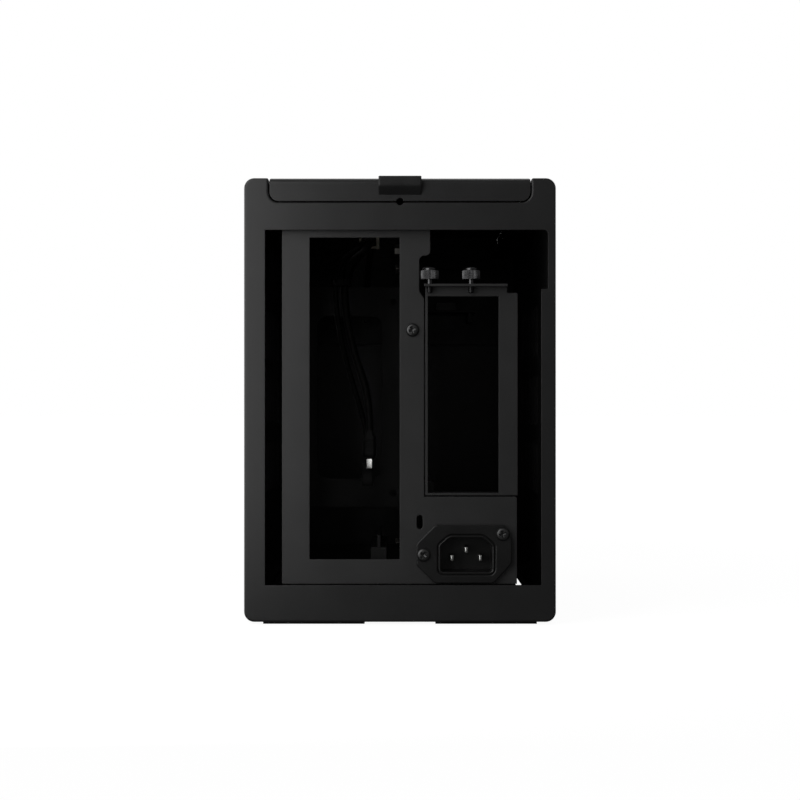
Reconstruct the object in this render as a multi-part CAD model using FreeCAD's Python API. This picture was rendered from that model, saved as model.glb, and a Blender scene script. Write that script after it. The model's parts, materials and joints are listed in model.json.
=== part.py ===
"""A small desktop computer case of folded sheet, seen from the rear along +Y.

The outer shell is a rear and a front plate, joined by two top rails and a base tray.
A lid and two side panels hinge on the plates and close the box.
A sliding spine stands between the board chamber on the left and the card chamber on the right.
It carries the recessed rear plate, the card bracket, the mains inlet and the supply bracket.

Axes: +X to the right in the rear view, +Y from the rear to the front, +Z up.
The origin is on the standing surface, under the middle of the whole case. Units are millimetres.
"""
import FreeCAD, Part
import math
import os

# Whole case
case_width = 153.0
case_depth = 343.0
body_height = 217.8
foot_drop = 1.5
corner_radius = 5.0
outer_sheet = 2.5
steel_sheet = 1.2
plate_edge_round = 1.0

# Clearances
seam_gap = 0.5
moving_gap = 0.3
pivot_gap = 0.05
sheet_gap = 0.65

# Rear plate: widths of the bands round its opening
rear_band_left = 10.3
rear_band_right = 7.2
rear_band_right_top = 3.9
rear_band_top = 25.45
rear_band_bottom = 18.0
rear_step_drop = 54.4
rear_opening_radius = 2.0

# Lid and its pull tab
lid_side_margin = 12.5
lid_flange = 11.35
lid_bend = 3.0
lid_axis_drop = 5.0
lid_pin_diameter = 1.5
lid_pin_length = 6.0
lid_lip_drop = 3.0
lid_lip_side = 1.2
lid_lip_below_axis = 1.4
seam_round = 1.0
seam_hole_diameter = 3.6
tab_width = 21.0
tab_reach = 3.5
tab_rise = 0.9
tab_lip = 4.4
tab_drop = 8.4
tab_nose_radius = 1.2
tab_foot_radius = 1.5
tab_strap = 12.0

# Side panels, their hinges and catches
hinge_pin_diameter = 3.0
hinge_pin_length = 3.1
hinge_ear = 2.0
hinge_ear_height = 3.0
stud_diameter = 3.0
stud_head_diameter = 4.8
stud_head_length = 2.5
stud_length = 7.0
stud_inset = 40.0
stud_drop = 9.8
clip_size = 8.0
clip_length = 6.0

# Vent slots in the panels and the lid
vent_width = 3.2
vent_length = 28.0
vent_pitch = 14.0
vent_row_gap = 9.0
panel_vent_rows = 3
panel_vent_margin = 96.0
lid_vent_length = 40.0
lid_vent_rows = 2
lid_vent_margin = 96.0

# Top rails and the brace between them
rail_side_gap = 1.5
rail_top_gap = 0.8
rail_height = 13.0
rail_width = 12.5
rail_tab_gap = 1.0
brace_width = 28.0
brace_from_rear = 122.0

# Base tray
base_recess = 2.5
base_upstand = 12.0
base_upstand_inset = 4.0
base_lip_inset = 12.0
base_lip_notch_start = 80.0
base_lip_notch_length = 85.0
fan_opening_diameter = 112.0
fan_hole_pitch = 105.0
fan_hole_diameter = 4.3
fan_from_front = 118.0

# Feet
foot_width = 50.0
foot_length = 14.0
foot_inset = 6.0
foot_side_inset = 9.0
foot_chamfer = 1.6

# Sliding spine
spine_left = 3.7
spine_travel = 29.0
spine_flange = 18.0
spine_rear_flange = 5.5
spine_front_space = 43.0
spine_window_length = 66.0
spine_window_height = 100.0
spine_window_from_front = 14.0
spine_window_rise = 46.0
window_radius = 6.0
spine_screw_diameter = 3.8
spine_screw_head = 7.0
spine_screw_head_height = 2.2
spine_screw_rear = 40.0
spine_screw_before_fan = 19.0
spine_screw_after_fan = 9.0
spine_screw_side = 12.0
spine_nut = 8.0
spine_nut_height = 1.8

# Recessed rear plate on the spine
recess = 6.0
io_width = 44.45
io_top_drop = 28.75
io_rise = 30.3
io_side = 3.85
inner_left_margin = 13.6
inner_rise = 10.5
inner_plate_rise = 18.2
inner_top_drop = 22.3
inner_return = 9.0
strip_width = 8.2
strip_notch_width = 5.8
strip_head_width = 11.2
strip_notch_height = 14.7
strip_slope = 3.5
strip_step_radius = 2.4
block_reach = 54.0
block_rise = 61.2
centre_screw_side = 2.4
centre_screw_rise = 143.4
centre_screw_head = 6.7
centre_screw_head_height = 1.9
centre_screw_diameter = 3.4
lock_slot_side = 6.0
lock_slot_rise = 48.7
lock_slot_width = 3.0
lock_slot_height = 7.0

# Card bracket and thumbscrews
card_opening_width = 34.9
card_ledge_drop = 51.85
card_band = 9.4
card_top_band = 4.7
card_shoulder_drop = 4.2
card_return = 12.0
card_ledge_reach = 5.6
card_ledge_left = 0.7
card_ledge_right = 5.4
card_tab_height = 14.0
card_tab_rises = (16.0, 52.0)
card_tab_reach = 8.4
slot_pitch = 20.32
first_slot_side = 10.95
thumb_head_diameter = 8.8
thumb_head_height = 5.0
thumb_cap_height = 1.4
thumb_cap_diameter = 6.4
thumb_shank_diameter = 2.9
thumb_shank_show = 2.3
thumb_tip = 4.5
thumb_grooves = 14
thumb_groove_depth = 0.45
thumb_axis_setback = 2.8

# Mains inlet
inlet_side = 29.0
inlet_rise = 32.7
inlet_rim_width = 28.3
inlet_rim_height = 19.8
inlet_rim_rise = 0.4
inlet_flange_sheet = 2.8
inlet_cavity_width = 25.3
inlet_cavity_height = 17.1
inlet_cavity_depth = 16.5
inlet_cavity_chamfer = 4.5
inlet_rim_radius = 2.5
inlet_cavity_radius = 1.8
inlet_body_depth = 18.0
blade_width = 2.0
blade_height = 4.0
blade_pitch = 7.0
blade_offset = 4.0
blade_drop = 1.8
blade_length = 22.0
blade_setback = 3.0
inlet_screw_head = 6.7
inlet_screw_head_height = 1.6
inlet_screw_diameter = 3.2
inlet_screw_length = 8.0
inlet_left_screw = (-21.1, 0.0)
inlet_right_screw = (17.9, 10.2)
inlet_flange_left = 24.7
inlet_flange_right = 22.3
inlet_flange_up = 14.7
inlet_flange_down = 14.0
inlet_flange_corner_low = 9.0
inlet_flange_corner_high = 9.4
inlet_flange_corner_right = 3.7

# Board standoffs
board_hole_from_plate = 12.3
board_hole_spacing_y = 154.94
board_hole_drop = 4.72
board_hole_rise = 26.85
standoff_height = 6.35
standoff_width = 5.0
standoff_bore_diameter = 2.9

# Supply bracket
psu_from_rear = 205.0
psu_hole_spacing_x = 51.5
psu_hole_spacing_z = 113.0
psu_hole_diameter = 3.6
psu_hole_side = 7.7
psu_bracket_reach = 62.2
psu_bracket_height = 130.0
psu_bracket_rise = 45.5
psu_window_width = 38.0
psu_window_height = 96.0
psu_return = 16.0

# Card riser
riser_rise = 54.5
riser_from_plate = 30.0
riser_length = 95.0
riser_shelf_width = 20.0
riser_leg = 26.0
riser_board_width = 16.0
riser_board_sheet = 1.6
riser_board_gap = 3.0
socket_length = 89.0
socket_width = 7.5
socket_height = 11.2
socket_slot_width = 1.8
socket_slot_depth = 8.0
ribbon_width = 72.0
ribbon_sheet = 1.0
ribbon_overlap = 4.0
ribbon_bow = 7.0
ribbon_bend = 4.0
ribbon_floor_gap = 3.0
ribbon_left_reach = 14.0
ribbon_end_rise = 12.0
riser_plug_width = 8.0
riser_plug_height = 14.0
riser_tongue_sheet = 1.6
riser_tongue_height = 6.0

# Front fascia with its ports and button
fascia_side_margin = 16.8
fascia_height = 42.0
fascia_drop = 27.3
fascia_depth = 8.0
fascia_lap = 3.5
fascia_corner = 3.0
fascia_rib = 24.0
fascia_rib_sheet = 3.0
fascia_rib_height = 6.0
io_board_margin = 11.7
io_board_length = 26.0
io_board_sheet = 1.6
io_board_drop = 3.0
usb_c_width = 8.9
usb_c_height = 3.3
usb_a_width = 13.1
usb_a_height = 5.7
port_wall = 0.35
port_depth = 16.0
port_setback = 0.4
port_tongue = 1.9
usb_c_tongue = 0.7
button_inset = 21.7
usb_c_offset = 24.0
usb_a_offsets = (46.0, 68.0)
button_diameter = 11.0
button_flange_diameter = 13.6
button_flange = 1.2
button_travel = 1.2
button_stop = 0.1
switch_size = 6.0
switch_length = 5.0
header_width = 8.0
header_length = 8.0
header_height = 7.0
header_setback = 2.8

# Front-panel leads, whose points are (x, distance from the rear face, height)
usb_lead_diameter = 4.0
panel_lead_diameter = 3.0
usb_lead_route = (
    (-20.0, 309.0, 172.0), (-20.0, 286.0, 172.0), (-20.0, 246.0, 182.0), (-18.6, 206.0, 191.2),
    (-16.6, 165.0, 196.8), (-15.2, 130.0, 197.6), (-15.4, 115.0, 197.6), (-18.5, 101.5, 191.5),
    (-28.4, 95.5, 183.0), (-30.4, 92.6, 165.0), (-25.5, 93.8, 137.0), (-16.4, 96.5, 112.0),
    (-16.4, 96.5, 94.0))
panel_lead_route = (
    (-33.0, 309.0, 172.0), (-33.0, 288.0, 172.0), (-31.5, 250.0, 183.2), (-27.0, 208.0, 191.8),
    (-21.6, 166.0, 196.4), (-19.1, 130.0, 197.1), (-19.3, 115.0, 197.1), (-23.2, 103.2, 192.4),
    (-33.0, 97.4, 184.0), (-35.2, 94.0, 166.0), (-31.6, 96.0, 141.0), (-25.0, 100.5, 117.0),
    (-17.6, 104.0, 93.0), (-17.6, 104.0, 76.0))
lead_arc_share = 0.45
usb_plug_width = 6.6
usb_plug_thickness = 5.0
usb_plug_height = 14.0
usb_tip_width = 3.6
usb_tip_thickness = 2.0
usb_tip_height = 6.0
panel_plug_width = 6.0
panel_plug_thickness = 3.0
panel_plug_height = 12.0
clip_drop = 6.7
clip_band = 6.0
clip_wall = 1.2
clip_room = 0.6
clip_point = 5
tie_height = 3.0
tie_wall = 1.0
tie_rise = 172.0
tie_slack = 0.8

# Planes and directions that the pieces share
half_width = case_width / 2
rear_y = (tab_reach - case_depth) / 2
front_y = rear_y + case_depth
rear_inside = rear_y + outer_sheet
front_inside = front_y - outer_sheet
bottom_z = foot_drop
top_z = bottom_z + body_height
lid_half = half_width - lid_side_margin
notch_half = lid_half + seam_gap
lid_low = top_z - lid_flange
notch_z = lid_low - seam_gap
hinge_x = half_width - corner_radius
hinge_z = bottom_z + corner_radius
panel_inside = half_width - outer_sheet
rail_out = panel_inside - rail_side_gap
rail_in = rail_out - rail_width
rail_top = top_z - outer_sheet - rail_top_gap
rail_z = rail_top - rail_height
stud_z = top_z - stud_drop
stud_ys = (rear_y + stud_inset, front_y - stud_inset)
brace_y = rear_y + brace_from_rear
brace_z = rail_z + steel_sheet
brace_top = brace_z + steel_sheet
base_half = half_width - 2 * corner_radius - seam_gap
base_z = bottom_z + base_recess
floor_z = base_z + steel_sheet
fan_y = front_y - fan_from_front
inner_y = rear_y + recess
inner_back = inner_y + steel_sheet
spine_right = spine_left + steel_sheet
spine_front = front_y - spine_front_space
spine_low = floor_z + moving_gap
spine_high = brace_z - moving_gap
spine_screw_x = spine_left + spine_screw_side
fan_radius = fan_opening_diameter / 2
spine_screw_ys = (
    rear_y + spine_screw_rear, fan_y - fan_radius - spine_screw_before_fan,
    fan_y + fan_radius + spine_screw_after_fan)
spine_slot_width = spine_screw_diameter + 2 * moving_gap
inner_low = bottom_z + inner_rise
inner_high = top_z - inner_top_drop
io_right = spine_left - io_side
io_left = io_right - io_width
io_low = bottom_z + io_rise
io_high = top_z - io_top_drop
inner_left = io_left - inner_left_margin
strip_right = spine_left + strip_width
block_right = spine_left + block_reach
block_high = bottom_z + block_rise
card_left = strip_right + sheet_gap
card_low = block_high + sheet_gap
card_open_left = card_left + steel_sheet
card_open_right = card_open_left + card_opening_width
card_open_low = card_low + steel_sheet
card_right = card_open_right + card_band
ledge_top = top_z - card_ledge_drop
ledge_z = ledge_top - steel_sheet
card_open_high = ledge_z - card_top_band
thumb_y = inner_y - thumb_axis_setback
thumb_xs = (spine_left + first_slot_side, spine_left + first_slot_side + slot_pitch)
inlet_x = spine_left + inlet_side
inlet_z = bottom_z + inlet_rise
inlet_screws_at = [
    (inlet_x + side, inlet_z + rise) for side, rise in (inlet_left_screw, inlet_right_screw)]
blades_at = [
    (inlet_x - blade_pitch, inlet_z - blade_drop),
    (inlet_x, inlet_z - blade_drop + blade_offset),
    (inlet_x + blade_pitch, inlet_z - blade_drop)]
centre_screw_x = spine_left + centre_screw_side
centre_screw_z = bottom_z + centre_screw_rise
board_rear_y = inner_back + board_hole_from_plate
board_low_z = bottom_z + board_hole_rise
board_hole_ys = (board_rear_y, board_rear_y + board_hole_spacing_y)
board_hole_zs = (board_low_z, io_high - board_hole_drop)
psu_y = rear_y + psu_from_rear
psu_low = bottom_z + psu_bracket_rise
psu_middle = psu_low + psu_bracket_height / 2
psu_hole_x = spine_left - psu_hole_side - psu_hole_spacing_x / 2
riser_z = bottom_z + riser_rise
riser_y = inner_back + riser_from_plate
riser_middle_y = riser_y + riser_length / 2
riser_board_left = spine_right + riser_board_gap
riser_board_right = riser_board_left + riser_board_width
riser_board_top = riser_z + riser_board_sheet
ribbon_low = floor_z + ribbon_floor_gap + ribbon_sheet
ribbon_right = riser_board_right + ribbon_bow
ribbon_left = spine_left - ribbon_left_reach
ribbon_end = ribbon_low + ribbon_end_rise
fascia_half = half_width - fascia_side_margin
button_x = -fascia_half + button_inset
usb_c_x = button_x + usb_c_offset
usb_a_x = [button_x + offset for offset in usb_a_offsets]
fascia_high = top_z - fascia_drop
fascia_low = fascia_high - fascia_height
fascia_middle = (fascia_low + fascia_high) / 2
fascia_back = front_y - fascia_depth
io_board_half = fascia_half - io_board_margin
io_board_top = fascia_middle - io_board_drop
io_board_low = io_board_top - io_board_sheet
button_z = fascia_middle
button_back = fascia_back - button_stop - button_flange
switch_front = button_back - button_travel - moving_gap
io_board_front = switch_front
io_board_rear = io_board_front - io_board_length

Vector = FreeCAD.Vector
ACROSS = Vector(1, 0, 0)
ALONG = Vector(0, 1, 0)
UP = Vector(0, 0, 1)


def upright(y):
    """Plane across the case, at one distance from the rear: (x, z)."""
    return lambda u, v: Vector(u, y, v)


def level(z):
    """Horizontal plane: (x, y)."""
    return lambda u, v: Vector(u, v, z)


def lengthwise(x):
    """Vertical plane from the rear to the front: (y, z)."""
    return lambda u, v: Vector(x, u, v)


def outline(corners, place):
    """Closed wire through (u, v, radius) corners, each rounded by a tangent arc."""
    stretches = []
    for index, (u, v, radius) in enumerate(corners):
        corner = Vector(u, v, 0)
        before = Vector(*corners[index - 1][:2], 0) - corner
        after = Vector(*corners[(index + 1) % len(corners)][:2], 0) - corner
        half_angle = before.getAngle(after) / 2
        before.normalize()
        after.normalize()
        reach = radius / math.tan(half_angle)
        inward = (before + after).normalize()
        middle = corner + inward * (radius / math.sin(half_angle) - radius)
        stretches.append((corner + before * reach, middle, corner + after * reach, radius))
    edges = []
    for index, (start, middle, end, radius) in enumerate(stretches):
        last_end = stretches[index - 1][2]
        if last_end.distanceToPoint(start) > 1e-6:
            edges.append(Part.LineSegment(place(*last_end[:2]), place(*start[:2])).toShape())
        if radius > 0:
            arc = Part.Arc(place(*start[:2]), place(*middle[:2]), place(*end[:2]))
            edges.append(arc.toShape())
    return Part.Wire(Part.__sortEdges__(edges))


def rectangle(u_low, u_high, v_low, v_high, radius=0.0):
    """Corners of a rectangle with one radius."""
    return [
        (u_low, v_low, radius), (u_high, v_low, radius),
        (u_high, v_high, radius), (u_low, v_high, radius)]


def rectangle_hole(place, u_low, u_high, v_low, v_high, radius=0.0):
    """Rectangular hole in a plate."""
    return outline(rectangle(u_low, u_high, v_low, v_high, radius), place)


def slot_hole(place, u, v, u_length, v_length):
    """Slot with round ends, centred at (u, v)."""
    radius = min(u_length, v_length) / 2
    return rectangle_hole(
        place, u - u_length / 2, u + u_length / 2, v - v_length / 2, v + v_length / 2, radius)


def round_hole(place, u, v, diameter):
    """Round hole in a plate."""
    normal = (place(1, 0) - place(0, 0)).cross(place(0, 1) - place(0, 0))
    return Part.Wire(Part.Circle(place(u, v), normal, diameter / 2).toShape())


def plate(corners, place, thickness, holes=()):
    """Flat sheet: an outline with holes, given a thickness vector."""
    face = Part.makeFace([outline(corners, place), *holes], "Part::FaceMakerBullseye")
    return face.extrude(thickness)


def block(x_low, x_high, y_low, y_high, z_low, z_high):
    """Rectangular block between two limits on each axis."""
    corner = Vector(x_low, y_low, z_low)
    return Part.makeBox(x_high - x_low, y_high - y_low, z_high - z_low, corner)


def rod(start, direction, diameter, length):
    """Round bar from a point along a direction."""
    return Part.makeCylinder(diameter / 2, length, start, direction)


def join(first, *others):
    """One solid from pieces of the same sheet or moulding."""
    return first.fuse(list(others)).removeSplitter()


def mirrored(shape):
    """The same piece on the other side of the case."""
    return shape.mirror(Vector(0, 0, 0), ACROSS)


def spread(low, high, pitch):
    """Evenly pitched places that fill a span and are centred in it."""
    count = int((high - low) / pitch + 1e-6) + 1
    first = (low + high - (count - 1) * pitch) / 2
    return [first + index * pitch for index in range(count)]


def shell_corners():
    """Outline of the rear and front plates, with the notch that the lid closes."""
    return [
        (-half_width, bottom_z, corner_radius), (half_width, bottom_z, corner_radius),
        (half_width, top_z, corner_radius), (notch_half, top_z, seam_round),
        (notch_half, notch_z, corner_radius), (-notch_half, notch_z, corner_radius),
        (-notch_half, top_z, seam_round), (-half_width, top_z, corner_radius)]


def rounded_plate(plate_shape, y):
    """The plate with its outer edge rounded on the face at y, all round but for the lid's notch."""
    edges = []
    for edge in plate_shape.Edges:
        box = edge.BoundBox
        on_face = max(abs(box.YMin - y), abs(box.YMax - y)) < 1e-6
        at_side = max(abs(box.XMin), abs(box.XMax)) > half_width - 1e-6
        at_end = box.ZMin > top_z - 1e-6 or box.ZMax < bottom_z + 1e-6
        if on_face and (at_side or at_end):
            edges.append(edge)
    return plate_shape.makeFillet(plate_edge_round, edges)


def seam_hole():
    """Round hole that the lid's rear flange and the rear plate share."""
    start = Vector(0, rear_y - outer_sheet, notch_z + seam_gap / 2)
    return rod(start, ALONG, seam_hole_diameter, 3 * outer_sheet)


def make_rear_frame():
    """Rear plate with the stepped opening that shows the recessed plate."""
    left = -half_width + rear_band_left
    right = half_width - rear_band_right
    right_top = half_width - rear_band_right_top
    low = bottom_z + rear_band_bottom
    high = top_z - rear_band_top
    step = top_z - rear_step_drop
    opening = outline(
        [(left, low, 0.0), (right, low, 0.0), (right, step, 0.0), (right_top, step, 0.0),
         (right_top, high, rear_opening_radius), (left, high, 0.0)],
        upright(rear_y))
    sheet = plate(shell_corners(), upright(rear_y), ALONG * outer_sheet, [opening])
    return rounded_plate(sheet, rear_y).cut(seam_hole())


def lid_pin_start(side):
    """Inner end of a lid hinge pin, half of it in the lid and half in the front plate."""
    middle = (lid_half + notch_half) / 2
    return Vector(side * (middle - lid_pin_length / 2), front_y - outer_sheet / 2, top_z - lid_axis_drop)


def lid_pin_bores():
    """Bores for the lid's hinge pins."""
    diameter = lid_pin_diameter + 2 * pivot_gap
    return [rod(lid_pin_start(side), ACROSS * side, diameter, lid_pin_length) for side in (-1, 1)]


def make_front_frame():
    """Front plate with the window that the fascia fills."""
    window_half = fascia_half + moving_gap
    window = rectangle_hole(
        upright(front_inside), -window_half, window_half,
        fascia_low - moving_gap, fascia_high + moving_gap, fascia_corner)
    sheet = plate(shell_corners(), upright(front_inside), ALONG * outer_sheet, [window])
    return rounded_plate(sheet, front_y).cut(lid_pin_bores())


def make_lid_hinge_pins():
    """Two short pins on the lid's hinge line."""
    pins = [rod(lid_pin_start(side), ACROSS * side, lid_pin_diameter, lid_pin_length) for side in (-1, 1)]
    return Part.makeCompound(pins)


def make_lid():
    """Folded top sheet with a flange at each end, a lip behind the front seam and rows of vent slots."""
    inner_bend = lid_bend - outer_sheet
    under = top_z - outer_sheet
    section = [
        (rear_y, lid_low, 0.0), (rear_y, top_z, lid_bend), (front_y, top_z, lid_bend),
        (front_y, lid_low, 0.0), (front_inside, lid_low, 0.0), (front_inside, under, inner_bend),
        (rear_inside, under, inner_bend), (rear_inside, lid_low, 0.0)]
    folded = plate(section, lengthwise(-lid_half), ACROSS * 2 * lid_half)
    flange_radius = corner_radius - seam_gap
    end_view = [
        (-lid_half, lid_low, flange_radius), (lid_half, lid_low, flange_radius),
        (lid_half, top_z, seam_round), (-lid_half, top_z, seam_round)]
    rounded = folded.common(plate(end_view, upright(rear_y), ALONG * case_depth))
    lip_face = front_inside - moving_gap
    lip_half = lid_half + lid_lip_side
    lip_high = top_z - lid_axis_drop - lid_lip_below_axis
    lip = block(
        -lip_half, lip_half, lip_face - steel_sheet, lip_face, lid_low - lid_lip_drop, lip_high)
    seat_half = lid_half - flange_radius
    seat = block(-seat_half, seat_half, lip_face, front_inside, lid_low + moving_gap, lip_high)
    lipped = join(rounded, lip, seat)
    row_pitch = lid_vent_length + vent_row_gap
    row_xs = spread(-row_pitch * (lid_vent_rows - 1) / 2, row_pitch * (lid_vent_rows - 1) / 2, row_pitch)
    vents = [
        plate(
            rectangle(x - lid_vent_length / 2, x + lid_vent_length / 2,
                      y - vent_width / 2, y + vent_width / 2, vent_width / 2),
            level(under - outer_sheet), UP * 3 * outer_sheet)
        for x in row_xs
        for y in spread(rear_y + lid_vent_margin, front_y - lid_vent_margin, vent_pitch)]
    return lipped.cut([*vents, *lid_pin_bores(), seam_hole()])


def make_pull_tab():
    """Finger pull over the lid's rear edge: a strap, a blunt nose and an underside that slopes back."""
    nose = rear_y - tab_reach
    section = [
        (rear_y + tab_strap, top_z, 0.0), (rear_y + tab_strap, top_z + tab_rise, tab_rise / 2),
        (nose, top_z + tab_rise, tab_nose_radius), (nose, top_z - tab_lip, tab_nose_radius),
        (rear_y, top_z - tab_drop, 0.0), (rear_y, top_z, tab_nose_radius)]
    lip = plate(section, lengthwise(-tab_width / 2), ACROSS * tab_width)
    half = tab_width / 2
    end_view = [
        (-half, top_z - tab_drop, tab_foot_radius), (half, top_z - tab_drop, tab_foot_radius),
        (half, top_z + tab_rise, tab_rise / 2), (-half, top_z + tab_rise, tab_rise / 2)]
    return lip.common(plate(end_view, upright(nose), ALONG * (tab_reach + tab_strap)))


def make_side_panel():
    """Right side panel: one folded sheet with a top flange, a lower curl and two hinge ears."""
    inner_radius = corner_radius - outer_sheet
    flange_end = notch_half
    section = [
        (flange_end, top_z, seam_round), (half_width, top_z, corner_radius),
        (half_width, bottom_z, corner_radius), (hinge_x, bottom_z, 0.0),
        (hinge_x, bottom_z + outer_sheet, 0.0), (panel_inside, bottom_z + outer_sheet, inner_radius),
        (panel_inside, top_z - outer_sheet, inner_radius), (flange_end, top_z - outer_sheet, 0.0)]
    start = rear_inside + moving_gap
    end = front_inside - moving_gap
    folded = plate(section, upright(start), ALONG * (end - start))
    ears = []
    for ear_start in (start, end - hinge_ear):
        ears.append(rod(Vector(hinge_x, ear_start, hinge_z), ALONG, 2 * inner_radius, hinge_ear))
        ears.append(block(
            hinge_x, panel_inside, ear_start, ear_start + hinge_ear, hinge_z, hinge_z + hinge_ear_height))
    bore = rod(Vector(hinge_x, rear_y, hinge_z), ALONG, hinge_pin_diameter + 2 * pivot_gap, case_depth)
    row_pitch = vent_length + vent_row_gap
    middle_z = (bottom_z + top_z) / 2
    row_reach = row_pitch * (panel_vent_rows - 1) / 2
    vents = [
        plate(
            rectangle(y - vent_width / 2, y + vent_width / 2,
                      z - vent_length / 2, z + vent_length / 2, vent_width / 2),
            lengthwise(panel_inside - outer_sheet), ACROSS * 3 * outer_sheet)
        for z in spread(middle_z - row_reach, middle_z + row_reach, row_pitch)
        for y in spread(rear_y + panel_vent_margin, front_y - panel_vent_margin, vent_pitch)]
    return join(folded, *ears).cut([bore, *vents])


def make_panel_studs():
    """Two catch studs on the right panel's inner face, each with a wider head."""
    studs = []
    for y in stud_ys:
        shank = rod(Vector(panel_inside, y, stud_z), -ACROSS, stud_diameter, stud_length - stud_head_length)
        head_start = panel_inside - stud_length + stud_head_length
        head = Part.makeCone(
            stud_head_diameter / 2, stud_diameter / 2, stud_head_length,
            Vector(head_start, y, stud_z), -ACROSS)
        studs.append(join(shank, head))
    return Part.makeCompound(studs)


def make_catch_clips():
    """Sockets on the rails that hold the panels' studs."""
    clips = []
    for y in stud_ys:
        start = rail_out - steel_sheet - clip_length
        body = block(
            start, start + clip_length, y - clip_size / 2, y + clip_size / 2,
            stud_z - clip_size / 2, stud_z + clip_size / 2)
        bore = rod(Vector(start, y, stud_z), ACROSS, stud_head_diameter + 2 * moving_gap, clip_length)
        clip = body.cut(bore)
        clips.extend([clip, mirrored(clip)])
    return Part.makeCompound(clips)


def make_panel_hinge_pins():
    """Four pins on the plates' inner faces, two for each side panel."""
    pins = []
    for side in (-1, 1):
        for y, inward in ((rear_inside, ALONG), (front_inside, -ALONG)):
            base = Vector(side * hinge_x, y, hinge_z)
            pins.append(rod(base, inward, hinge_pin_diameter, hinge_pin_length))
    return Part.makeCompound(pins)


def make_top_rail():
    """Right top rail: an angle from plate to plate with a tab at each end."""
    section = [
        (rail_in, rail_z, 0.0), (rail_out, rail_z, 0.0), (rail_out, rail_top, 0.0),
        (rail_out - steel_sheet, rail_top, 0.0), (rail_out - steel_sheet, rail_z + steel_sheet, 0.0),
        (rail_in, rail_z + steel_sheet, 0.0)]
    angle = plate(section, upright(rear_inside), ALONG * (front_inside - rear_inside))
    tab_left = notch_half + rail_tab_gap
    tabs = [
        block(tab_left, rail_out, start, start + steel_sheet, rail_z, rail_top)
        for start in (rear_inside, front_inside - steel_sheet)]
    stud_holes = [
        rod(Vector(rail_in, y, stud_z), ACROSS, stud_head_diameter + 4 * moving_gap, 2 * rail_width)
        for y in stud_ys]
    return join(angle, *tabs).cut(stud_holes)


def make_top_brace():
    """Flat brace on the rails' lower flanges, slotted for the spine's upper screw."""
    place = level(brace_z)
    slot = slot_hole(place, spine_screw_x, brace_y, spine_travel + spine_slot_width, spine_slot_width)
    reach = rail_out - steel_sheet - seam_gap
    corners = rectangle(-reach, reach, brace_y - brace_width / 2, brace_y + brace_width / 2)
    return plate(corners, place, UP * steel_sheet, [slot])


def make_base_tray():
    """Base tray with end upstands, side lips, a fan opening and slots for the spine's screws.

    The right lip is notched, so that a mains lead can pass over the tray's edge.
    """
    place = level(base_z)
    holes = [round_hole(place, 0.0, fan_y, fan_opening_diameter)]
    for side in (-1, 1):
        for end in (-1, 1):
            x = side * fan_hole_pitch / 2
            holes.append(round_hole(place, x, fan_y + end * fan_hole_pitch / 2, fan_hole_diameter))
    for y in spine_screw_ys:
        length = spine_travel + spine_slot_width
        holes.append(slot_hole(place, spine_screw_x, y, length, spine_slot_width))
    floor = plate(rectangle(-base_half, base_half, rear_inside, front_inside), place, UP * steel_sheet, holes)
    end_half = base_half - base_upstand_inset
    ends = [
        block(-end_half, end_half, start, start + steel_sheet, base_z, base_z + base_upstand)
        for start in (rear_inside, front_inside - steel_sheet)]
    lip_start = rear_y + base_lip_inset
    lip_end = front_y - base_lip_inset
    lip = block(base_half - steel_sheet, base_half, lip_start, lip_end, base_z, inner_low - seam_gap)
    notch_start = rear_y + base_lip_notch_start
    notch = block(
        base_half - 2 * steel_sheet, base_half + steel_sheet, notch_start,
        notch_start + base_lip_notch_length, base_z + steel_sheet, inner_low)
    return join(floor, *ends, lip.cut(notch), mirrored(lip))


def make_foot(side, end):
    """One long low pad under the base tray, its upper outer edge cut away for the panel's curl."""
    outer = half_width - foot_side_inset
    inner = outer - foot_width
    section = [
        (inner, 0.0, 0.0), (outer, 0.0, 0.0), (outer, base_z - foot_chamfer, 0.0),
        (outer - foot_chamfer, base_z, 0.0), (inner, base_z, 0.0)]
    start = rear_y + foot_inset if end == "rear" else front_y - foot_inset - foot_length
    pad = plate(section, upright(start), ALONG * foot_length)
    return pad if side == "right" else mirrored(pad)


def make_spine_plate():
    """Centre wall with windows, and flanges at the rear, along the base and under the brace."""
    place = lengthwise(spine_left)
    window_end = spine_front - spine_window_from_front
    window_low = bottom_z + spine_window_rise
    supply_window = rectangle_hole(
        place, window_end - spine_window_length, window_end,
        window_low, window_low + spine_window_height, window_radius)
    ribbon_half = ribbon_width / 2 + ribbon_floor_gap
    ribbon_window = rectangle_hole(
        place, riser_middle_y - ribbon_half, riser_middle_y + ribbon_half,
        spine_low + steel_sheet, ribbon_low + ribbon_floor_gap)
    wall = plate(
        rectangle(inner_back, spine_front, spine_low, spine_high), place, ACROSS * steel_sheet,
        [supply_window, ribbon_window])
    flange_end = spine_left + spine_flange
    base_flange = block(spine_left, flange_end, inner_back, spine_front, spine_low, spine_low + steel_sheet)
    top_flange = block(
        spine_left, flange_end, brace_y - brace_width / 2, brace_y + brace_width / 2,
        spine_high - steel_sheet, spine_high)
    rear_flange = block(
        spine_left, spine_left + spine_rear_flange, inner_back, inner_back + steel_sheet,
        card_low, inner_high)
    folded = join(wall, base_flange, top_flange, rear_flange)
    bores = [
        rod(Vector(spine_screw_x, y, spine_low), UP, spine_screw_diameter, steel_sheet)
        for y in spine_screw_ys]
    top_bore = Vector(spine_screw_x, brace_y, spine_high - steel_sheet)
    bores.append(rod(top_bore, UP, spine_screw_diameter, steel_sheet))
    rear_bore = Vector(centre_screw_x, inner_back, centre_screw_z)
    bores.append(rod(rear_bore, ALONG, centre_screw_diameter, 2 * steel_sheet))
    return folded.cut(bores)


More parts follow.
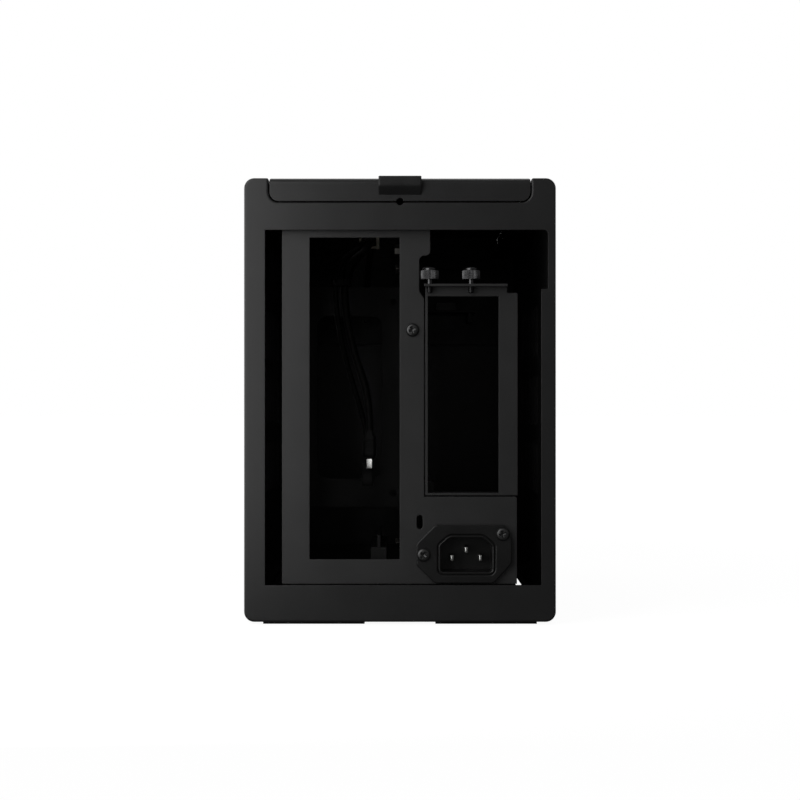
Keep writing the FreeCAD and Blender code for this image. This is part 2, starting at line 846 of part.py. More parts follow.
def make_spine_screws():
    """Screws that clamp the spine: three through the base slots into nuts, one through the brace."""
    screws = []
    base_flange_top = spine_low + steel_sheet
    nut_top = base_z - moving_gap
    nut_low = nut_top - spine_nut_height
    for y in spine_screw_ys:
        head = rod(Vector(spine_screw_x, y, base_flange_top), UP, spine_screw_head, spine_screw_head_height)
        shank = rod(Vector(spine_screw_x, y, nut_low), UP, spine_screw_diameter, base_flange_top - nut_low)
        half = spine_nut / 2
        nut = block(spine_screw_x - half, spine_screw_x + half, y - half, y + half, nut_low, nut_top)
        screws.append(join(head, shank, nut))
    head_low = brace_top + moving_gap
    shank_low = spine_high - steel_sheet
    head = rod(Vector(spine_screw_x, brace_y, head_low), UP, spine_screw_head, spine_screw_head_height)
    shank = rod(Vector(spine_screw_x, brace_y, shank_low), UP, spine_screw_diameter, head_low - shank_low)
    screws.append(join(head, shank))
    return Part.makeCompound(screws)


def inlet_rim_corners():
    """Outline of the inlet's rim and of its body behind the plate."""
    half_rim = inlet_rim_width / 2
    half_high = inlet_rim_height / 2
    return [
        (x, z, inlet_rim_radius) for x, z in (
            (inlet_x - half_rim, inlet_z - half_high), (inlet_x + half_rim, inlet_z - half_high),
            (inlet_x + half_rim, inlet_z + half_high - inlet_cavity_chamfer),
            (inlet_x + half_rim - inlet_cavity_chamfer, inlet_z + half_high),
            (inlet_x - half_rim + inlet_cavity_chamfer, inlet_z + half_high),
            (inlet_x - half_rim, inlet_z + half_high - inlet_cavity_chamfer))]


def make_inner_rear_plate():
    """Recessed plate with the board aperture, the inlet's cut-out and a stepped right edge."""
    place = upright(inner_y)
    plate_low = bottom_z + inner_plate_rise
    notch_right = spine_left + strip_notch_width
    notch_low = ledge_top - strip_slope
    notch_high = notch_low + strip_notch_height + steel_sheet + strip_slope / 2
    head_right = spine_left + strip_head_width
    corners = [
        (inner_left, plate_low, 0.0), (block_right, plate_low, 0.0), (block_right, block_high, 1.0),
        (strip_right, block_high, 0.0), (strip_right, notch_low - strip_slope, 1.0),
        (notch_right, notch_low, 1.5), (notch_right, notch_high, strip_step_radius),
        (head_right, notch_high, strip_step_radius), (head_right, inner_high, 0.0),
        (inner_left, inner_high, 0.0)]
    half_rim = inlet_rim_width / 2 + sheet_gap
    half_body = inlet_rim_height / 2 + sheet_gap
    holes = [
        rectangle_hole(place, io_left, io_right, io_low, io_high),
        slot_hole(
            place, spine_left + lock_slot_side, bottom_z + lock_slot_rise, lock_slot_width, lock_slot_height),
        rectangle_hole(
            place, inlet_x - half_rim, inlet_x + half_rim, inlet_z - half_body, inlet_z + half_body),
        round_hole(place, centre_screw_x, centre_screw_z, centre_screw_diameter)]
    holes.extend(round_hole(place, x, z, inlet_screw_diameter) for x, z in inlet_screws_at)
    face = plate(corners, place, ALONG * steel_sheet, holes)
    return_edge = block(
        inner_left, inner_left + steel_sheet, inner_y, inner_y + inner_return, plate_low, inner_high)
    return join(face, return_edge)


def make_centre_screw():
    """Pan-head screw that ties the recessed plate to the spine's rear flange."""
    front = inner_y - centre_screw_head_height
    head = Part.makeCone(
        centre_screw_head * 0.38, centre_screw_head / 2, centre_screw_head_height,
        Vector(centre_screw_x, front, centre_screw_z), ALONG)
    seat = Vector(centre_screw_x, inner_y, centre_screw_z)
    return join(head, rod(seat, ALONG, centre_screw_diameter, 3 * steel_sheet))


def make_expansion_bracket():
    """Folded card bracket: a face with one wide opening, returns behind it and a ledge in front."""
    place = upright(inner_y)
    opening = rectangle_hole(place, card_open_left, card_open_right, card_open_low, card_open_high)
    shoulder = ledge_top - card_shoulder_drop
    ledge_end = card_open_right + card_ledge_right - steel_sheet
    corners = [
        (card_left, card_low, 0.0), (card_right, card_low, 0.0), (card_right, shoulder, 1.0),
        (ledge_end, shoulder, 0.0), (ledge_end, ledge_top, 0.0), (card_left, ledge_top, 0.0)]
    face = plate(corners, place, ALONG * steel_sheet, [opening])
    back = inner_y + card_return
    left_return = block(card_left, card_open_left, inner_y, back, card_low, ledge_top)
    right_return = block(
        card_right - steel_sheet, card_right, inner_y + steel_sheet, back, card_low, shoulder)
    low_return = block(card_left, card_right, inner_y, back, card_low, card_open_low)
    ledge = block(
        card_left - card_ledge_left, ledge_end, inner_y - card_ledge_reach, inner_back, ledge_z, ledge_top)
    tab_back = inner_back + 2 * steel_sheet
    tabs = [
        block(card_open_left - card_tab_reach, card_open_left, inner_back + steel_sheet, tab_back,
              low, low + card_tab_height)
        for low in (card_low + rise for rise in card_tab_rises)]
    bore_diameter = thumb_shank_diameter + 2 * pivot_gap
    bores = [rod(Vector(x, thumb_y, ledge_z), UP, bore_diameter, steel_sheet) for x in thumb_xs]
    folded = join(face, left_return, right_return, low_return, ledge, *tabs)
    return folded.cut(bores)


def make_thumbscrew(x):
    """Hand screw in the ledge: a grooved head with a bevelled cap on a plain shank."""
    head_low = ledge_top + thumb_shank_show
    head_high = head_low + thumb_head_height
    outer = thumb_head_diameter / 2
    points = []
    for index in range(2 * thumb_grooves):
        angle = math.pi * index / thumb_grooves
        radius = outer - thumb_groove_depth * (index % 2)
        points.append((x + radius * math.cos(angle), thumb_y + radius * math.sin(angle), 0.0))
    head = plate(points, level(head_low), UP * thumb_head_height)
    cap_base = Vector(x, thumb_y, head_high)
    cap = Part.makeCone(outer - thumb_groove_depth, thumb_cap_diameter / 2, thumb_cap_height, cap_base, UP)
    tip_low = ledge_top - thumb_tip
    shank = rod(Vector(x, thumb_y, tip_low), UP, thumb_shank_diameter, head_low - tip_low)
    return join(head, cap, shank)


def make_power_inlet():
    """Moulded mains inlet: an angular flange, a raised rim, a keyed cavity and a body behind."""
    flange_front = inner_y - inlet_flange_sheet
    left = inlet_x - inlet_flange_left
    right = inlet_x + inlet_flange_right
    high = inlet_z + inlet_flange_up
    low = inlet_z - inlet_flange_down
    flange_corners = [
        (left + inlet_flange_corner_low, low, 1.5), (right - inlet_flange_corner_low, low, 1.5),
        (right, low + inlet_flange_corner_low + 1.0, 1.5), (right, high - 2 * inlet_flange_corner_right, 1.5),
        (right - inlet_flange_corner_right, high, 1.5), (left + inlet_flange_corner_high, high, 1.5),
        (left, high - inlet_flange_corner_high, 1.5), (left, low + inlet_flange_corner_low, 1.5)]
    flange = plate(flange_corners, upright(flange_front), ALONG * inlet_flange_sheet)
    rim_front = flange_front - inlet_rim_rise
    back = inner_y + inlet_body_depth
    body = plate(inlet_rim_corners(), upright(rim_front), ALONG * (back - rim_front))
    half_cavity = inlet_cavity_width / 2
    cavity_low = inlet_z - inlet_cavity_height / 2
    cavity_high = inlet_z + inlet_cavity_height / 2
    cavity_corners = [
        (x, z, inlet_cavity_radius) for x, z in (
            (inlet_x - half_cavity, cavity_low), (inlet_x + half_cavity, cavity_low),
            (inlet_x + half_cavity, cavity_high - inlet_cavity_chamfer),
            (inlet_x + half_cavity - inlet_cavity_chamfer, cavity_high),
            (inlet_x - half_cavity + inlet_cavity_chamfer, cavity_high),
            (inlet_x - half_cavity, cavity_high - inlet_cavity_chamfer))]
    cavity = plate(cavity_corners, upright(rim_front), ALONG * inlet_cavity_depth)
    screw_holes = [
        rod(Vector(x, rim_front, z), ALONG, inlet_screw_diameter, 2 * inlet_flange_sheet)
        for x, z in inlet_screws_at]
    return join(flange, body).cut([cavity, make_inlet_blades(), *screw_holes])


def make_inlet_blades():
    """Three contact blades that pass through the inlet's back wall and end in its terminals."""
    start = inner_y - inlet_flange_sheet - inlet_rim_rise + blade_setback
    blades = [
        block(x - blade_width / 2, x + blade_width / 2, start, start + blade_length,
              z - blade_height / 2, z + blade_height / 2)
        for x, z in blades_at]
    return Part.makeCompound(blades)


def make_inlet_screws():
    """Two pan-head screws that hold the inlet's flange."""
    screws = []
    face = inner_y - inlet_flange_sheet
    for x, z in inlet_screws_at:
        head = Part.makeCone(
            inlet_screw_head * 0.38, inlet_screw_head / 2, inlet_screw_head_height,
            Vector(x, face - inlet_screw_head_height, z), ALONG)
        shank = rod(Vector(x, face, z), ALONG, inlet_screw_diameter, inlet_screw_length)
        screws.append(join(head, shank))
    return Part.makeCompound(screws)


def make_board_standoffs():
    """Four hexagonal standoffs on the spine's left face, at the board's standard holes."""
    standoffs = []
    radius = standoff_width / math.sqrt(3)
    for y in board_hole_ys:
        for z in board_hole_zs:
            corners = [
                (y + radius * math.cos(math.pi * index / 3), z + radius * math.sin(math.pi * index / 3), 0.0)
                for index in range(6)]
            place = lengthwise(spine_left)
            bore = round_hole(place, y, z, standoff_bore_diameter)
            standoffs.append(plate(corners, place, ACROSS * -standoff_height, [bore]))
    return Part.makeCompound(standoffs)


def make_psu_bracket():
    """Supply bracket: an upright frame with the supply's standard holes and a return on the spine."""
    place = upright(psu_y)
    left = spine_left - psu_bracket_reach
    high = psu_low + psu_bracket_height
    window = rectangle_hole(
        place, psu_hole_x - psu_window_width / 2, psu_hole_x + psu_window_width / 2,
        psu_middle - psu_window_height / 2, psu_middle + psu_window_height / 2, window_radius)
    holes = [
        round_hole(place, psu_hole_x + side * psu_hole_spacing_x / 2,
                   psu_middle + end * psu_hole_spacing_z / 2, psu_hole_diameter)
        for side in (-1, 1) for end in (-1, 1)]
    corners = [
        (left, psu_low, fascia_corner), (spine_left, psu_low, 0.0),
        (spine_left, high, 0.0), (left, high, fascia_corner)]
    face = plate(corners, place, ALONG * steel_sheet, [window, *holes])
    return_edge = block(spine_left - steel_sheet, spine_left, psu_y, psu_y + psu_return, psu_low, high)
    return join(face, return_edge)


def make_riser_bracket():
    """Angle on the spine's right face that carries the card riser."""
    end = riser_y + riser_length
    leg = block(spine_right, spine_right + steel_sheet, riser_y, end, riser_z - riser_leg, riser_z)
    shelf = block(spine_right, spine_right + riser_shelf_width, riser_y, end, riser_z - steel_sheet, riser_z)
    return join(leg, shelf)


def make_riser_board():
    """Small circuit board under the card socket."""
    end = riser_y + riser_length
    return block(riser_board_left, riser_board_right, riser_y, end, riser_z, riser_board_top)


def make_riser_socket():
    """Long card socket, open upwards."""
    left = riser_board_left + ribbon_overlap / 2
    start = riser_middle_y - socket_length / 2
    high = riser_board_top + socket_height
    body = block(left, left + socket_width, start, start + socket_length, riser_board_top, high)
    middle = left + socket_width / 2
    slot = block(
        middle - socket_slot_width / 2, middle + socket_slot_width / 2,
        start + socket_slot_width, start + socket_length - socket_slot_width, high - socket_slot_depth, high)
    return body.cut(slot)


def make_riser_ribbon():
    """Flat ribbon from the riser board, under the spine through its low window and up on the left."""
    wide = ribbon_bend + ribbon_sheet
    section = [
        (riser_board_right - ribbon_overlap, riser_board_top + ribbon_sheet, 0.0),
        (ribbon_right + ribbon_sheet, riser_board_top + ribbon_sheet, wide),
        (ribbon_right + ribbon_sheet, ribbon_low - ribbon_sheet, wide),
        (ribbon_left - ribbon_sheet, ribbon_low - ribbon_sheet, wide),
        (ribbon_left - ribbon_sheet, ribbon_end, 0.0), (ribbon_left, ribbon_end, 0.0),
        (ribbon_left, ribbon_low, ribbon_bend), (ribbon_right, ribbon_low, ribbon_bend),
        (ribbon_right, riser_board_top, ribbon_bend),
        (riser_board_right - ribbon_overlap, riser_board_top, 0.0)]
    return plate(section, upright(riser_middle_y - ribbon_width / 2), ALONG * ribbon_width)


def make_riser_plug():
    """Plug at the ribbon's end, with the thin tongue that enters the board's slot."""
    middle = ribbon_left - ribbon_sheet / 2
    start = riser_middle_y - socket_length / 2
    end = start + socket_length
    body_high = ribbon_end + riser_plug_height
    half = riser_plug_width / 2
    body = block(middle - half, middle + half, start, end, ribbon_end, body_high)
    tongue = block(
        middle - riser_tongue_sheet / 2, middle + riser_tongue_sheet / 2,
        start + half, end - half, body_high, body_high + riser_tongue_height)
    return join(body, tongue)


def make_front_fascia():
    """Fascia bar that fills the front plate's window, with port holes, a button bore and board ribs."""
    face = plate(
        rectangle(-fascia_half, fascia_half, fascia_low, fascia_high, fascia_corner - moving_gap),
        upright(front_inside), ALONG * outer_sheet)
    lap_half = fascia_half + fascia_lap
    lap = plate(
        rectangle(-lap_half, lap_half, fascia_low - fascia_lap, fascia_high + fascia_lap),
        upright(fascia_back), ALONG * (front_inside - fascia_back))
    rib_x = io_board_half - fascia_rib_sheet
    ribs = [
        block(x - fascia_rib_sheet / 2, x + fascia_rib_sheet / 2, fascia_back - fascia_rib, fascia_back,
              io_board_low - fascia_rib_height, io_board_low)
        for x in (-rib_x, rib_x)]
    place = upright(fascia_back - fascia_depth)
    through = ALONG * 3 * fascia_depth
    gap = 2 * moving_gap
    cuts = [port_block(usb_c_x, usb_c_width, usb_c_height, moving_gap)]
    cuts.extend(port_block(x, usb_a_width, usb_a_height, moving_gap) for x in usb_a_x)
    bore = Part.Face(round_hole(place, button_x, button_z, button_diameter + gap)).extrude(through)
    return join(face, lap, *ribs).cut([*cuts, bore])


def port_block(x, width, height, gap):
    """Outer form of a port that stands on the front board, widened by a gap."""
    middle = io_board_top + height / 2
    front = front_y - port_setback
    return block(
        x - width / 2 - gap, x + width / 2 + gap, front - port_depth, front + 2 * gap,
        middle - height / 2 - gap, middle + height / 2 + gap)


def make_port(x, width, height, tongue):
    """Metal port shell with its contact tongue, open to the front."""
    outer = port_block(x, width, height, 0.0)
    front = front_y - port_setback
    middle = io_board_top + height / 2
    back_wall = 3 * port_wall
    half_hollow = width / 2 - port_wall
    hollow = block(
        x - half_hollow, x + half_hollow, front - port_depth + back_wall, front + port_wall,
        middle - height / 2 + port_wall, middle + height / 2 - port_wall)
    half_leaf = width / 2 - 4 * port_wall
    leaf = block(
        x - half_leaf, x + half_leaf, front - port_depth, front - back_wall,
        middle - tongue / 2, middle + tongue / 2)
    return join(outer.cut(hollow), leaf)


def make_front_io_board():
    """Circuit board behind the fascia, resting on its ribs."""
    return block(-io_board_half, io_board_half, io_board_rear, io_board_front, io_board_low, io_board_top)


def make_power_switch():
    """Push switch on the front board, behind the power button."""
    half = switch_size / 2
    body = block(
        button_x - half, button_x + half, switch_front - switch_length, switch_front - moving_gap,
        io_board_top, button_z + half)
    plunger_height = switch_size / 4
    plunger = block(
        button_x - plunger_height, button_x + plunger_height, switch_front - moving_gap, switch_front,
        button_z - plunger_height, button_z + plunger_height)
    return join(body, plunger)


def make_power_button():
    """Round button cap with a retaining flange behind the fascia."""
    cap = rod(Vector(button_x, fascia_back - button_stop, button_z), ALONG, button_diameter, fascia_depth)
    flange = rod(Vector(button_x, button_back, button_z), ALONG, button_flange_diameter, button_flange)
    return join(cap, flange)


def make_lead_headers():
    """Headers on the front board where the two leads leave it."""
    headers = []
    header_y = io_board_rear + header_setback
    for route in (usb_lead_route, panel_lead_route):
        x = route[0][0]
        headers.append(block(
            x - header_width / 2, x + header_width / 2, header_y, header_y + header_length,
            io_board_top, io_board_top + header_height))
    return Part.makeCompound(headers)


def lead_path(route, diameter):
    """Straight runs joined by tangent arcs, each as large as its two runs allow."""
    points = [Vector(x, rear_y + depth, height) for x, depth, height in route]
    edges = []
    start = points[0]
    radii = []
    for before, corner, after in zip(points, points[1:], points[2:]):
        back = before - corner
        ahead = after - corner
        reach = lead_arc_share * min(back.Length, ahead.Length)
        half_angle = back.getAngle(ahead) / 2
        radius = reach * math.tan(half_angle)
        back.normalize()
        ahead.normalize()
        arc_start = corner + back * reach
        arc_end = corner + ahead * reach
        inward = (back + ahead).normalize()
        arc_middle = corner + inward * (radius / math.sin(half_angle) - radius)
        edges.append(Part.LineSegment(start, arc_start).toShape())
        edges.append(Part.Arc(arc_start, arc_middle, arc_end).toShape())
        start = arc_end
        radii.append(radius)
    edges.append(Part.LineSegment(start, points[-1]).toShape())
    path = Part.Wire(edges)
    print("lead of diameter", diameter, "radii", [round(radius, 1) for radius in radii])
    return path, points


def make_lead(route, diameter):
    """Round lead along its route, from its header to its plug."""
    path, points = lead_path(route, diameter)
    circle = Part.Circle(points[0], points[1] - points[0], diameter / 2)
    tube = path.makePipeShell([Part.Wire(circle.toShape())], True, True)
    expected = math.pi * diameter ** 2 / 4 * path.Length
    print("lead length", round(path.Length, 1), "volume ratio", round(tube.Volume / expected, 4))
    return tube


def lead_end(route):
    """Lower end of a lead."""
    x, depth, height = route[-1]
    return x, rear_y + depth, height


def make_usb_plug():
    """Moulded header plug at the end of the thicker lead."""
    x, y, high = lead_end(usb_lead_route)
    return block(
        x - usb_plug_width / 2, x + usb_plug_width / 2,
        y - usb_plug_thickness / 2, y + usb_plug_thickness / 2, high - usb_plug_height, high)


def make_usb_plug_tip():
    """Metal tip of the header plug."""
    x, y, high = lead_end(usb_lead_route)
    low = high - usb_plug_height
    return block(
        x - usb_tip_width / 2, x + usb_tip_width / 2, y - usb_tip_thickness / 2, y + usb_tip_thickness / 2,
        low - usb_tip_height, low)


def make_panel_plug():
    """Pin-header plug at the end of the thinner lead."""
    x, y, high = lead_end(panel_lead_route)
    return block(
        x - panel_plug_width / 2, x + panel_plug_width / 2,
        y - panel_plug_thickness / 2, y + panel_plug_thickness / 2, high - panel_plug_height, high)


def lead_places(height):
    """Where the hanging stretches of the two leads cross a height: (x, y, diameter) for each."""
    places = []
    for route, diameter in ((usb_lead_route, usb_lead_diameter), (panel_lead_route, panel_lead_diameter)):
        for (x0, d0, z0), (x1, d1, z1) in zip(route, route[1:]):
            if z1 <= height < z0:
                share = (z0 - height) / (z0 - z1)
                places.append((x0 + share * (x1 - x0), rear_y + d0 + share * (d1 - d0), diameter))
    return places


def make_cable_tie():
    """Band round the two hanging leads."""
    places = lead_places(tie_rise)
    reach = tie_slack + usb_lead_diameter / 2
    x_low = min(x for x, y, diameter in places) - reach
    x_high = max(x for x, y, diameter in places) + reach
    y_low = min(y for x, y, diameter in places) - reach - tie_slack
    y_high = max(y for x, y, diameter in places) + reach + tie_slack
    place = level(tie_rise)
    hole = rectangle_hole(place, x_low, x_high, y_low, y_high, reach / 2)
    corners = rectangle(
        x_low - tie_wall, x_high + tie_wall, y_low - tie_wall, y_high + tie_wall, reach / 2 + tie_wall)
    return plate(corners, place, UP * tie_height, [hole])


def make_cable_clip():
    """Clip under the top brace that carries the two leads."""
    reach = usb_lead_diameter / 2 + clip_room
    middle = brace_z - clip_drop
    place = upright(brace_y - clip_band / 2)
    left = panel_lead_route[clip_point][0] - panel_lead_diameter / 2 - clip_room
    right = usb_lead_route[clip_point][0] + reach
    low = middle - reach
    window = rectangle_hole(place, left, right, low, middle + reach, reach / 2)
    corners = [
        (left - clip_wall, low - clip_wall, reach / 2), (right + clip_wall, low - clip_wall, reach / 2),
        (right + clip_wall, brace_z, 0.0), (left - clip_wall, brace_z, 0.0)]
    return plate(corners, place, ALONG * clip_band, [window])


right_panel = make_side_panel()
right_studs = make_panel_studs()
right_rail = make_top_rail()
nodes = {
    "rear_frame": make_rear_frame(),
    "front_frame": make_front_frame(),
    "front_fascia": make_front_fascia(),
    "base_tray": make_base_tray(),
    "top_rail_left": mirrored(right_rail),
    "top_rail_right": right_rail,
    "top_brace": make_top_brace(),
    "panel_hinge_pins": make_panel_hinge_pins(),
    "lid_hinge_pins": make_lid_hinge_pins(),
    "catch_clips": make_catch_clips(),
    "front_io_board": make_front_io_board(),
    "usb_c_port": make_port(usb_c_x, usb_c_width, usb_c_height, usb_c_tongue),
    "usb_a_port_1": make_port(usb_a_x[0], usb_a_width, usb_a_height, port_tongue),
    "usb_a_port_2": make_port(usb_a_x[1], usb_a_width, usb_a_height, port_tongue),
    "power_switch": make_power_switch(),
    "power_button": make_power_button(),
    "lead_headers": make_lead_headers(),
    "cable_clip": make_cable_clip(),
    "cable_tie": make_cable_tie(),
    "usb_lead": make_lead(usb_lead_route, usb_lead_diameter),
    "usb_plug": make_usb_plug(),
    "usb_plug_tip": make_usb_plug_tip(),
    "panel_lead": make_lead(panel_lead_route, panel_lead_diameter),
    "panel_plug": make_panel_plug(),
    "lid": make_lid(),
    "pull_tab": make_pull_tab(),
    "left_panel": mirrored(right_panel),
    "right_panel": right_panel,
    "left_panel_studs": mirrored(right_studs),
    "right_panel_studs": right_studs,
    "spine_plate": make_spine_plate(),
    "spine_screws": make_spine_screws(),
    "inner_rear_plate": make_inner_rear_plate(),
    "centre_screw": make_centre_screw(),
    "expansion_bracket": make_expansion_bracket(),
    "thumbscrew_left": make_thumbscrew(thumb_xs[0]),
    "thumbscrew_right": make_thumbscrew(thumb_xs[1]),
    "power_inlet": make_power_inlet(),
    "inlet_blades": make_inlet_blades(),
    "inlet_screws": make_inlet_screws(),
    "board_standoffs": make_board_standoffs(),
    "psu_bracket": make_psu_bracket(),
    "riser_bracket": make_riser_bracket(),
    "riser_board": make_riser_board(),
    "riser_socket": make_riser_socket(),
    "riser_ribbon": make_riser_ribbon(),
    "riser_plug": make_riser_plug(),
}
for foot_end in ("rear", "front"):
    for foot_side in ("left", "right"):
        nodes["foot_" + foot_end + "_" + foot_side] = make_foot(foot_side, foot_end)

os.makedirs("parts", exist_ok=True)
for node_name, shape in nodes.items():
    shape.exportStep("parts/" + node_name + ".step")
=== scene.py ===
"""Dresses a small desktop computer case: its finishes, leads, screws, pull tab and studio."""
import json
import math

import bmesh
import bpy
import numpy as np
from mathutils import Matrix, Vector


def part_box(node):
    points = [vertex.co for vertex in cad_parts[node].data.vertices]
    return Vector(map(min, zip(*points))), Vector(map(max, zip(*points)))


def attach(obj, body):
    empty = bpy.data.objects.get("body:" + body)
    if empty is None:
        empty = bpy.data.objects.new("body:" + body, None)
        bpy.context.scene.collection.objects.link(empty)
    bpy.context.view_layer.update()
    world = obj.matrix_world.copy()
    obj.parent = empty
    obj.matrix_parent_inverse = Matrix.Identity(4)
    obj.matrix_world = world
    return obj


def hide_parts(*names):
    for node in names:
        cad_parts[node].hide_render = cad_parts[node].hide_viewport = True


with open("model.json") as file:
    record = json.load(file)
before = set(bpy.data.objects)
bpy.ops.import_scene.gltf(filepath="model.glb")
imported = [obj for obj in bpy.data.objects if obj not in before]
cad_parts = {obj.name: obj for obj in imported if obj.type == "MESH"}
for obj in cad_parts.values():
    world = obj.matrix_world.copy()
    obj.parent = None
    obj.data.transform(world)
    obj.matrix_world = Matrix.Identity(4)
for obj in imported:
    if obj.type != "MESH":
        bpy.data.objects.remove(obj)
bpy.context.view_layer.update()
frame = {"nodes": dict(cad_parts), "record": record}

bl_info = {
    "name": "Desktop computer case",
    "version": (1, 0, 0),
    "blender": (4, 5, 0),
    "location": "View3D > Sidebar > Case",
    "description": "Finishes and details for a small folded-sheet computer case",
    "category": "Object",
}

MM = 0.001
MERGE_DISTANCE = 1e-7
REAR_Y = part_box("rear_frame")[0].y
TOP_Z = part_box("lid")[1].z
REARWARD = (0.0, -1.0, 0.0)
UPWARD = (0.0, 0.0, 1.0)

# Points of the leads as (x, distance from the rear face, height), in millimetres
USB_LEAD_ROUTE = (
    (-20.0, 309.0, 172.0), (-20.0, 286.0, 172.0), (-20.0, 246.0, 182.0), (-18.6, 206.0, 191.2),
    (-16.6, 165.0, 196.8), (-15.2, 130.0, 197.6), (-15.4, 115.0, 197.6), (-18.5, 101.5, 191.5),
    (-28.4, 95.5, 183.0), (-30.4, 92.6, 165.0), (-25.5, 93.8, 137.0), (-16.4, 96.5, 112.0),
    (-16.4, 96.5, 94.0))
PANEL_LEAD_ROUTE = (
    (-33.0, 309.0, 172.0), (-33.0, 288.0, 172.0), (-31.5, 250.0, 183.2), (-27.0, 208.0, 191.8),
    (-21.6, 166.0, 196.4), (-19.1, 130.0, 197.1), (-19.3, 115.0, 197.1), (-23.2, 103.2, 192.4),
    (-33.0, 97.4, 184.0), (-35.2, 94.0, 166.0), (-31.6, 96.0, 141.0), (-25.0, 100.5, 117.0),
    (-17.6, 104.0, 93.0), (-17.6, 104.0, 76.0))

# Each lead's node, route, diameter and length, and the nodes of the pieces on it
LEADS = (
    ("usb_lead", USB_LEAD_ROUTE, 4.0 * MM, 0.3158, ("usb_plug", "usb_plug_tip", "cable_tie")),
    ("panel_lead", PANEL_LEAD_ROUTE, 3.0 * MM, 0.3344, ("panel_plug",)))

# Distances of the spine's screws from the rear face, in millimetres
BASE_SCREW_DEPTHS = (40.0, 150.0, 290.0)
BRACE_SCREW_DEPTH = 122.0

# Nodes whose finish isn't the plain one of their slot
# The inside sheet takes a darker copy of the steel's powder coat as painted shade
INSIDE_SHEET = (
    "base_tray", "top_rail_left", "top_rail_right", "top_brace", "spine_plate", "psu_bracket",
    "riser_bracket")
PORTS = ("usb_c_port", "usb_a_port_1", "usb_a_port_2")
PAN_SCREWS = ("centre_screw", "inlet_screws", "spine_screws")
LEAD_MOULDINGS = ("usb_plug", "panel_plug", "cable_tie", "riser_plug", "riser_ribbon")
SPECIAL = {
    **dict.fromkeys(INSIDE_SHEET, "inside"), **dict.fromkeys(PORTS, "port"),
    **dict.fromkeys(PAN_SCREWS, "pan_screw"), **dict.fromkeys(LEAD_MOULDINGS, "lead_jacket")}


def length(label, description, default):
    """A size in metres that a user may change."""
    return bpy.props.FloatProperty(name=label, description=description, default=default, unit="LENGTH")


def colour(label, description, default):
    """A finish colour that a user may change."""
    return bpy.props.FloatVectorProperty(
        name=label, description=description, default=default, subtype="COLOR", size=3, min=0.0, max=1.0)


def amount(label, description, default):
    """A plain number that a user may change."""
    return bpy.props.FloatProperty(name=label, description=description, default=default)


class StudioSettings(bpy.types.PropertyGroup):
    """Camera, lamps and floor."""
    camera_distance: length("Camera distance", "From the rear face to the camera", 1.0)
    camera_height: length("Camera height", "Of the camera above the floor", 0.1104)
    view_width: length("View width", "Width of the picture at the rear face", 0.3923)
    softbox_radiance: amount("Softbox radiance", "Brightness of the softbox at the camera's left", 1.8)
    fill_radiance: amount("Fill radiance", "Brightness of the lamps above, beyond and beside", 0.4)
    room_light: amount("Room light", "Brightness of the room round the studio", 0.14)
    floor_glow: amount("Floor glow", "White of the floor near the case without its lamps", 0.95)
    floor_colour: colour("Floor", "Colour of the floor under the lamps", (0.2, 0.2, 0.2))


class FinishSettings(bpy.types.PropertyGroup):
    """Colours of the finishes."""
    shell: colour("Shell", "Blasted and anodised outer sheet", (0.022, 0.022, 0.0222))
    steel: colour("Steel", "Powder coat on the rear's inner plates", (0.034, 0.034, 0.0342))
    # The steel's powder coat made darker for the sheet inside the case: painted shade
    inside: colour("Shaded inside steel", "Powder coat on the sheet inside", (0.01, 0.01, 0.01))
    plastic: colour("Plastic", "Dark mouldings", (0.009, 0.009, 0.009))
    leather: colour("Leather", "Pull tab", (0.008, 0.008, 0.008))
    rubber: colour("Rubber", "Feet", (0.01, 0.01, 0.01))
    screw: colour("Thumbscrews", "Black nickel on the thumbscrews", (0.092, 0.092, 0.094))
    zinc: colour("Pan screws", "Black zinc on the pan-head screws", (0.09, 0.09, 0.09))
    plated: colour("Plated steel", "Pins, contacts and ports", (0.72, 0.72, 0.7))
    nickel: colour("Standoffs", "Nickel plate on the standoffs", (0.4, 0.385, 0.355))
    board: colour("Board", "Solder mask of the circuit boards", (0.008, 0.012, 0.01))
    jacket: colour("Jacket", "Jacket of the leads and their plugs", (0.007, 0.007, 0.007))
    nylon: colour("Nylon", "Uncoloured nylon of the lead clip", (0.62, 0.58, 0.48))


class ScrewSettings(bpy.types.PropertyGroup):
    """Sizes of the screws."""
    pan_head: length("Pan head", "Diameter of the rear plates' screw heads", 6.7 * MM)
    pan_shank: length("Pan shank", "Diameter of the rear plates' screw shanks", 3.2 * MM)
    centre_height: length("Centre head height", "Of the centre screw's head", 1.9 * MM)
    inlet_height: length("Inlet head height", "Of the inlet screws' heads", 1.6 * MM)
    spine_head: length("Spine head", "Diameter of the spine screws' heads", 7.0 * MM)
    spine_height: length("Spine head height", "Of the spine screws' heads", 2.2 * MM)
    spine_shank: length("Spine shank", "Diameter of the spine screws' shanks", 3.8 * MM)
    spine_nut: length("Spine nut", "Width of the square nuts under the base", 8.0 * MM)
    spine_nut_height: length("Spine nut height", "Of the square nuts", 1.8 * MM)
    sheet: length("Inner sheet", "Thickness of the spine's sheet", 1.2 * MM)
    recess_width: length("Recess width", "Width of each arm of the cross recess", 0.95 * MM)
    recess_span: length("Recess span", "Length of each arm of the cross recess", 3.5 * MM)
    recess_depth: length("Recess depth", "Depth of the cross recess", 1.2 * MM)
    thumb_shank: length("Thumbscrew shank", "Diameter of a thumbscrew's thread", 2.9 * MM)
    thread_pitch: length("Thread pitch", "Of a thumbscrew's thread", 0.7 * MM)
    thread_depth: length("Thread depth", "Of a thumbscrew's thread", 0.22 * MM)
    knurl_depth: length("Knurl depth", "Depth of the grooves in a thumbscrew's head", 0.24 * MM)
    neck: length("Neck", "Plain part of a thumbscrew between its head and its thread", 2.6 * MM)
    cap_height: length("Cap height", "Of the round cap on a thumbscrew's head", 1.6 * MM)
    knurl_count: bpy.props.IntProperty(
        name="Knurl count", description="Grooves round a thumbscrew's head", default=42, min=6)


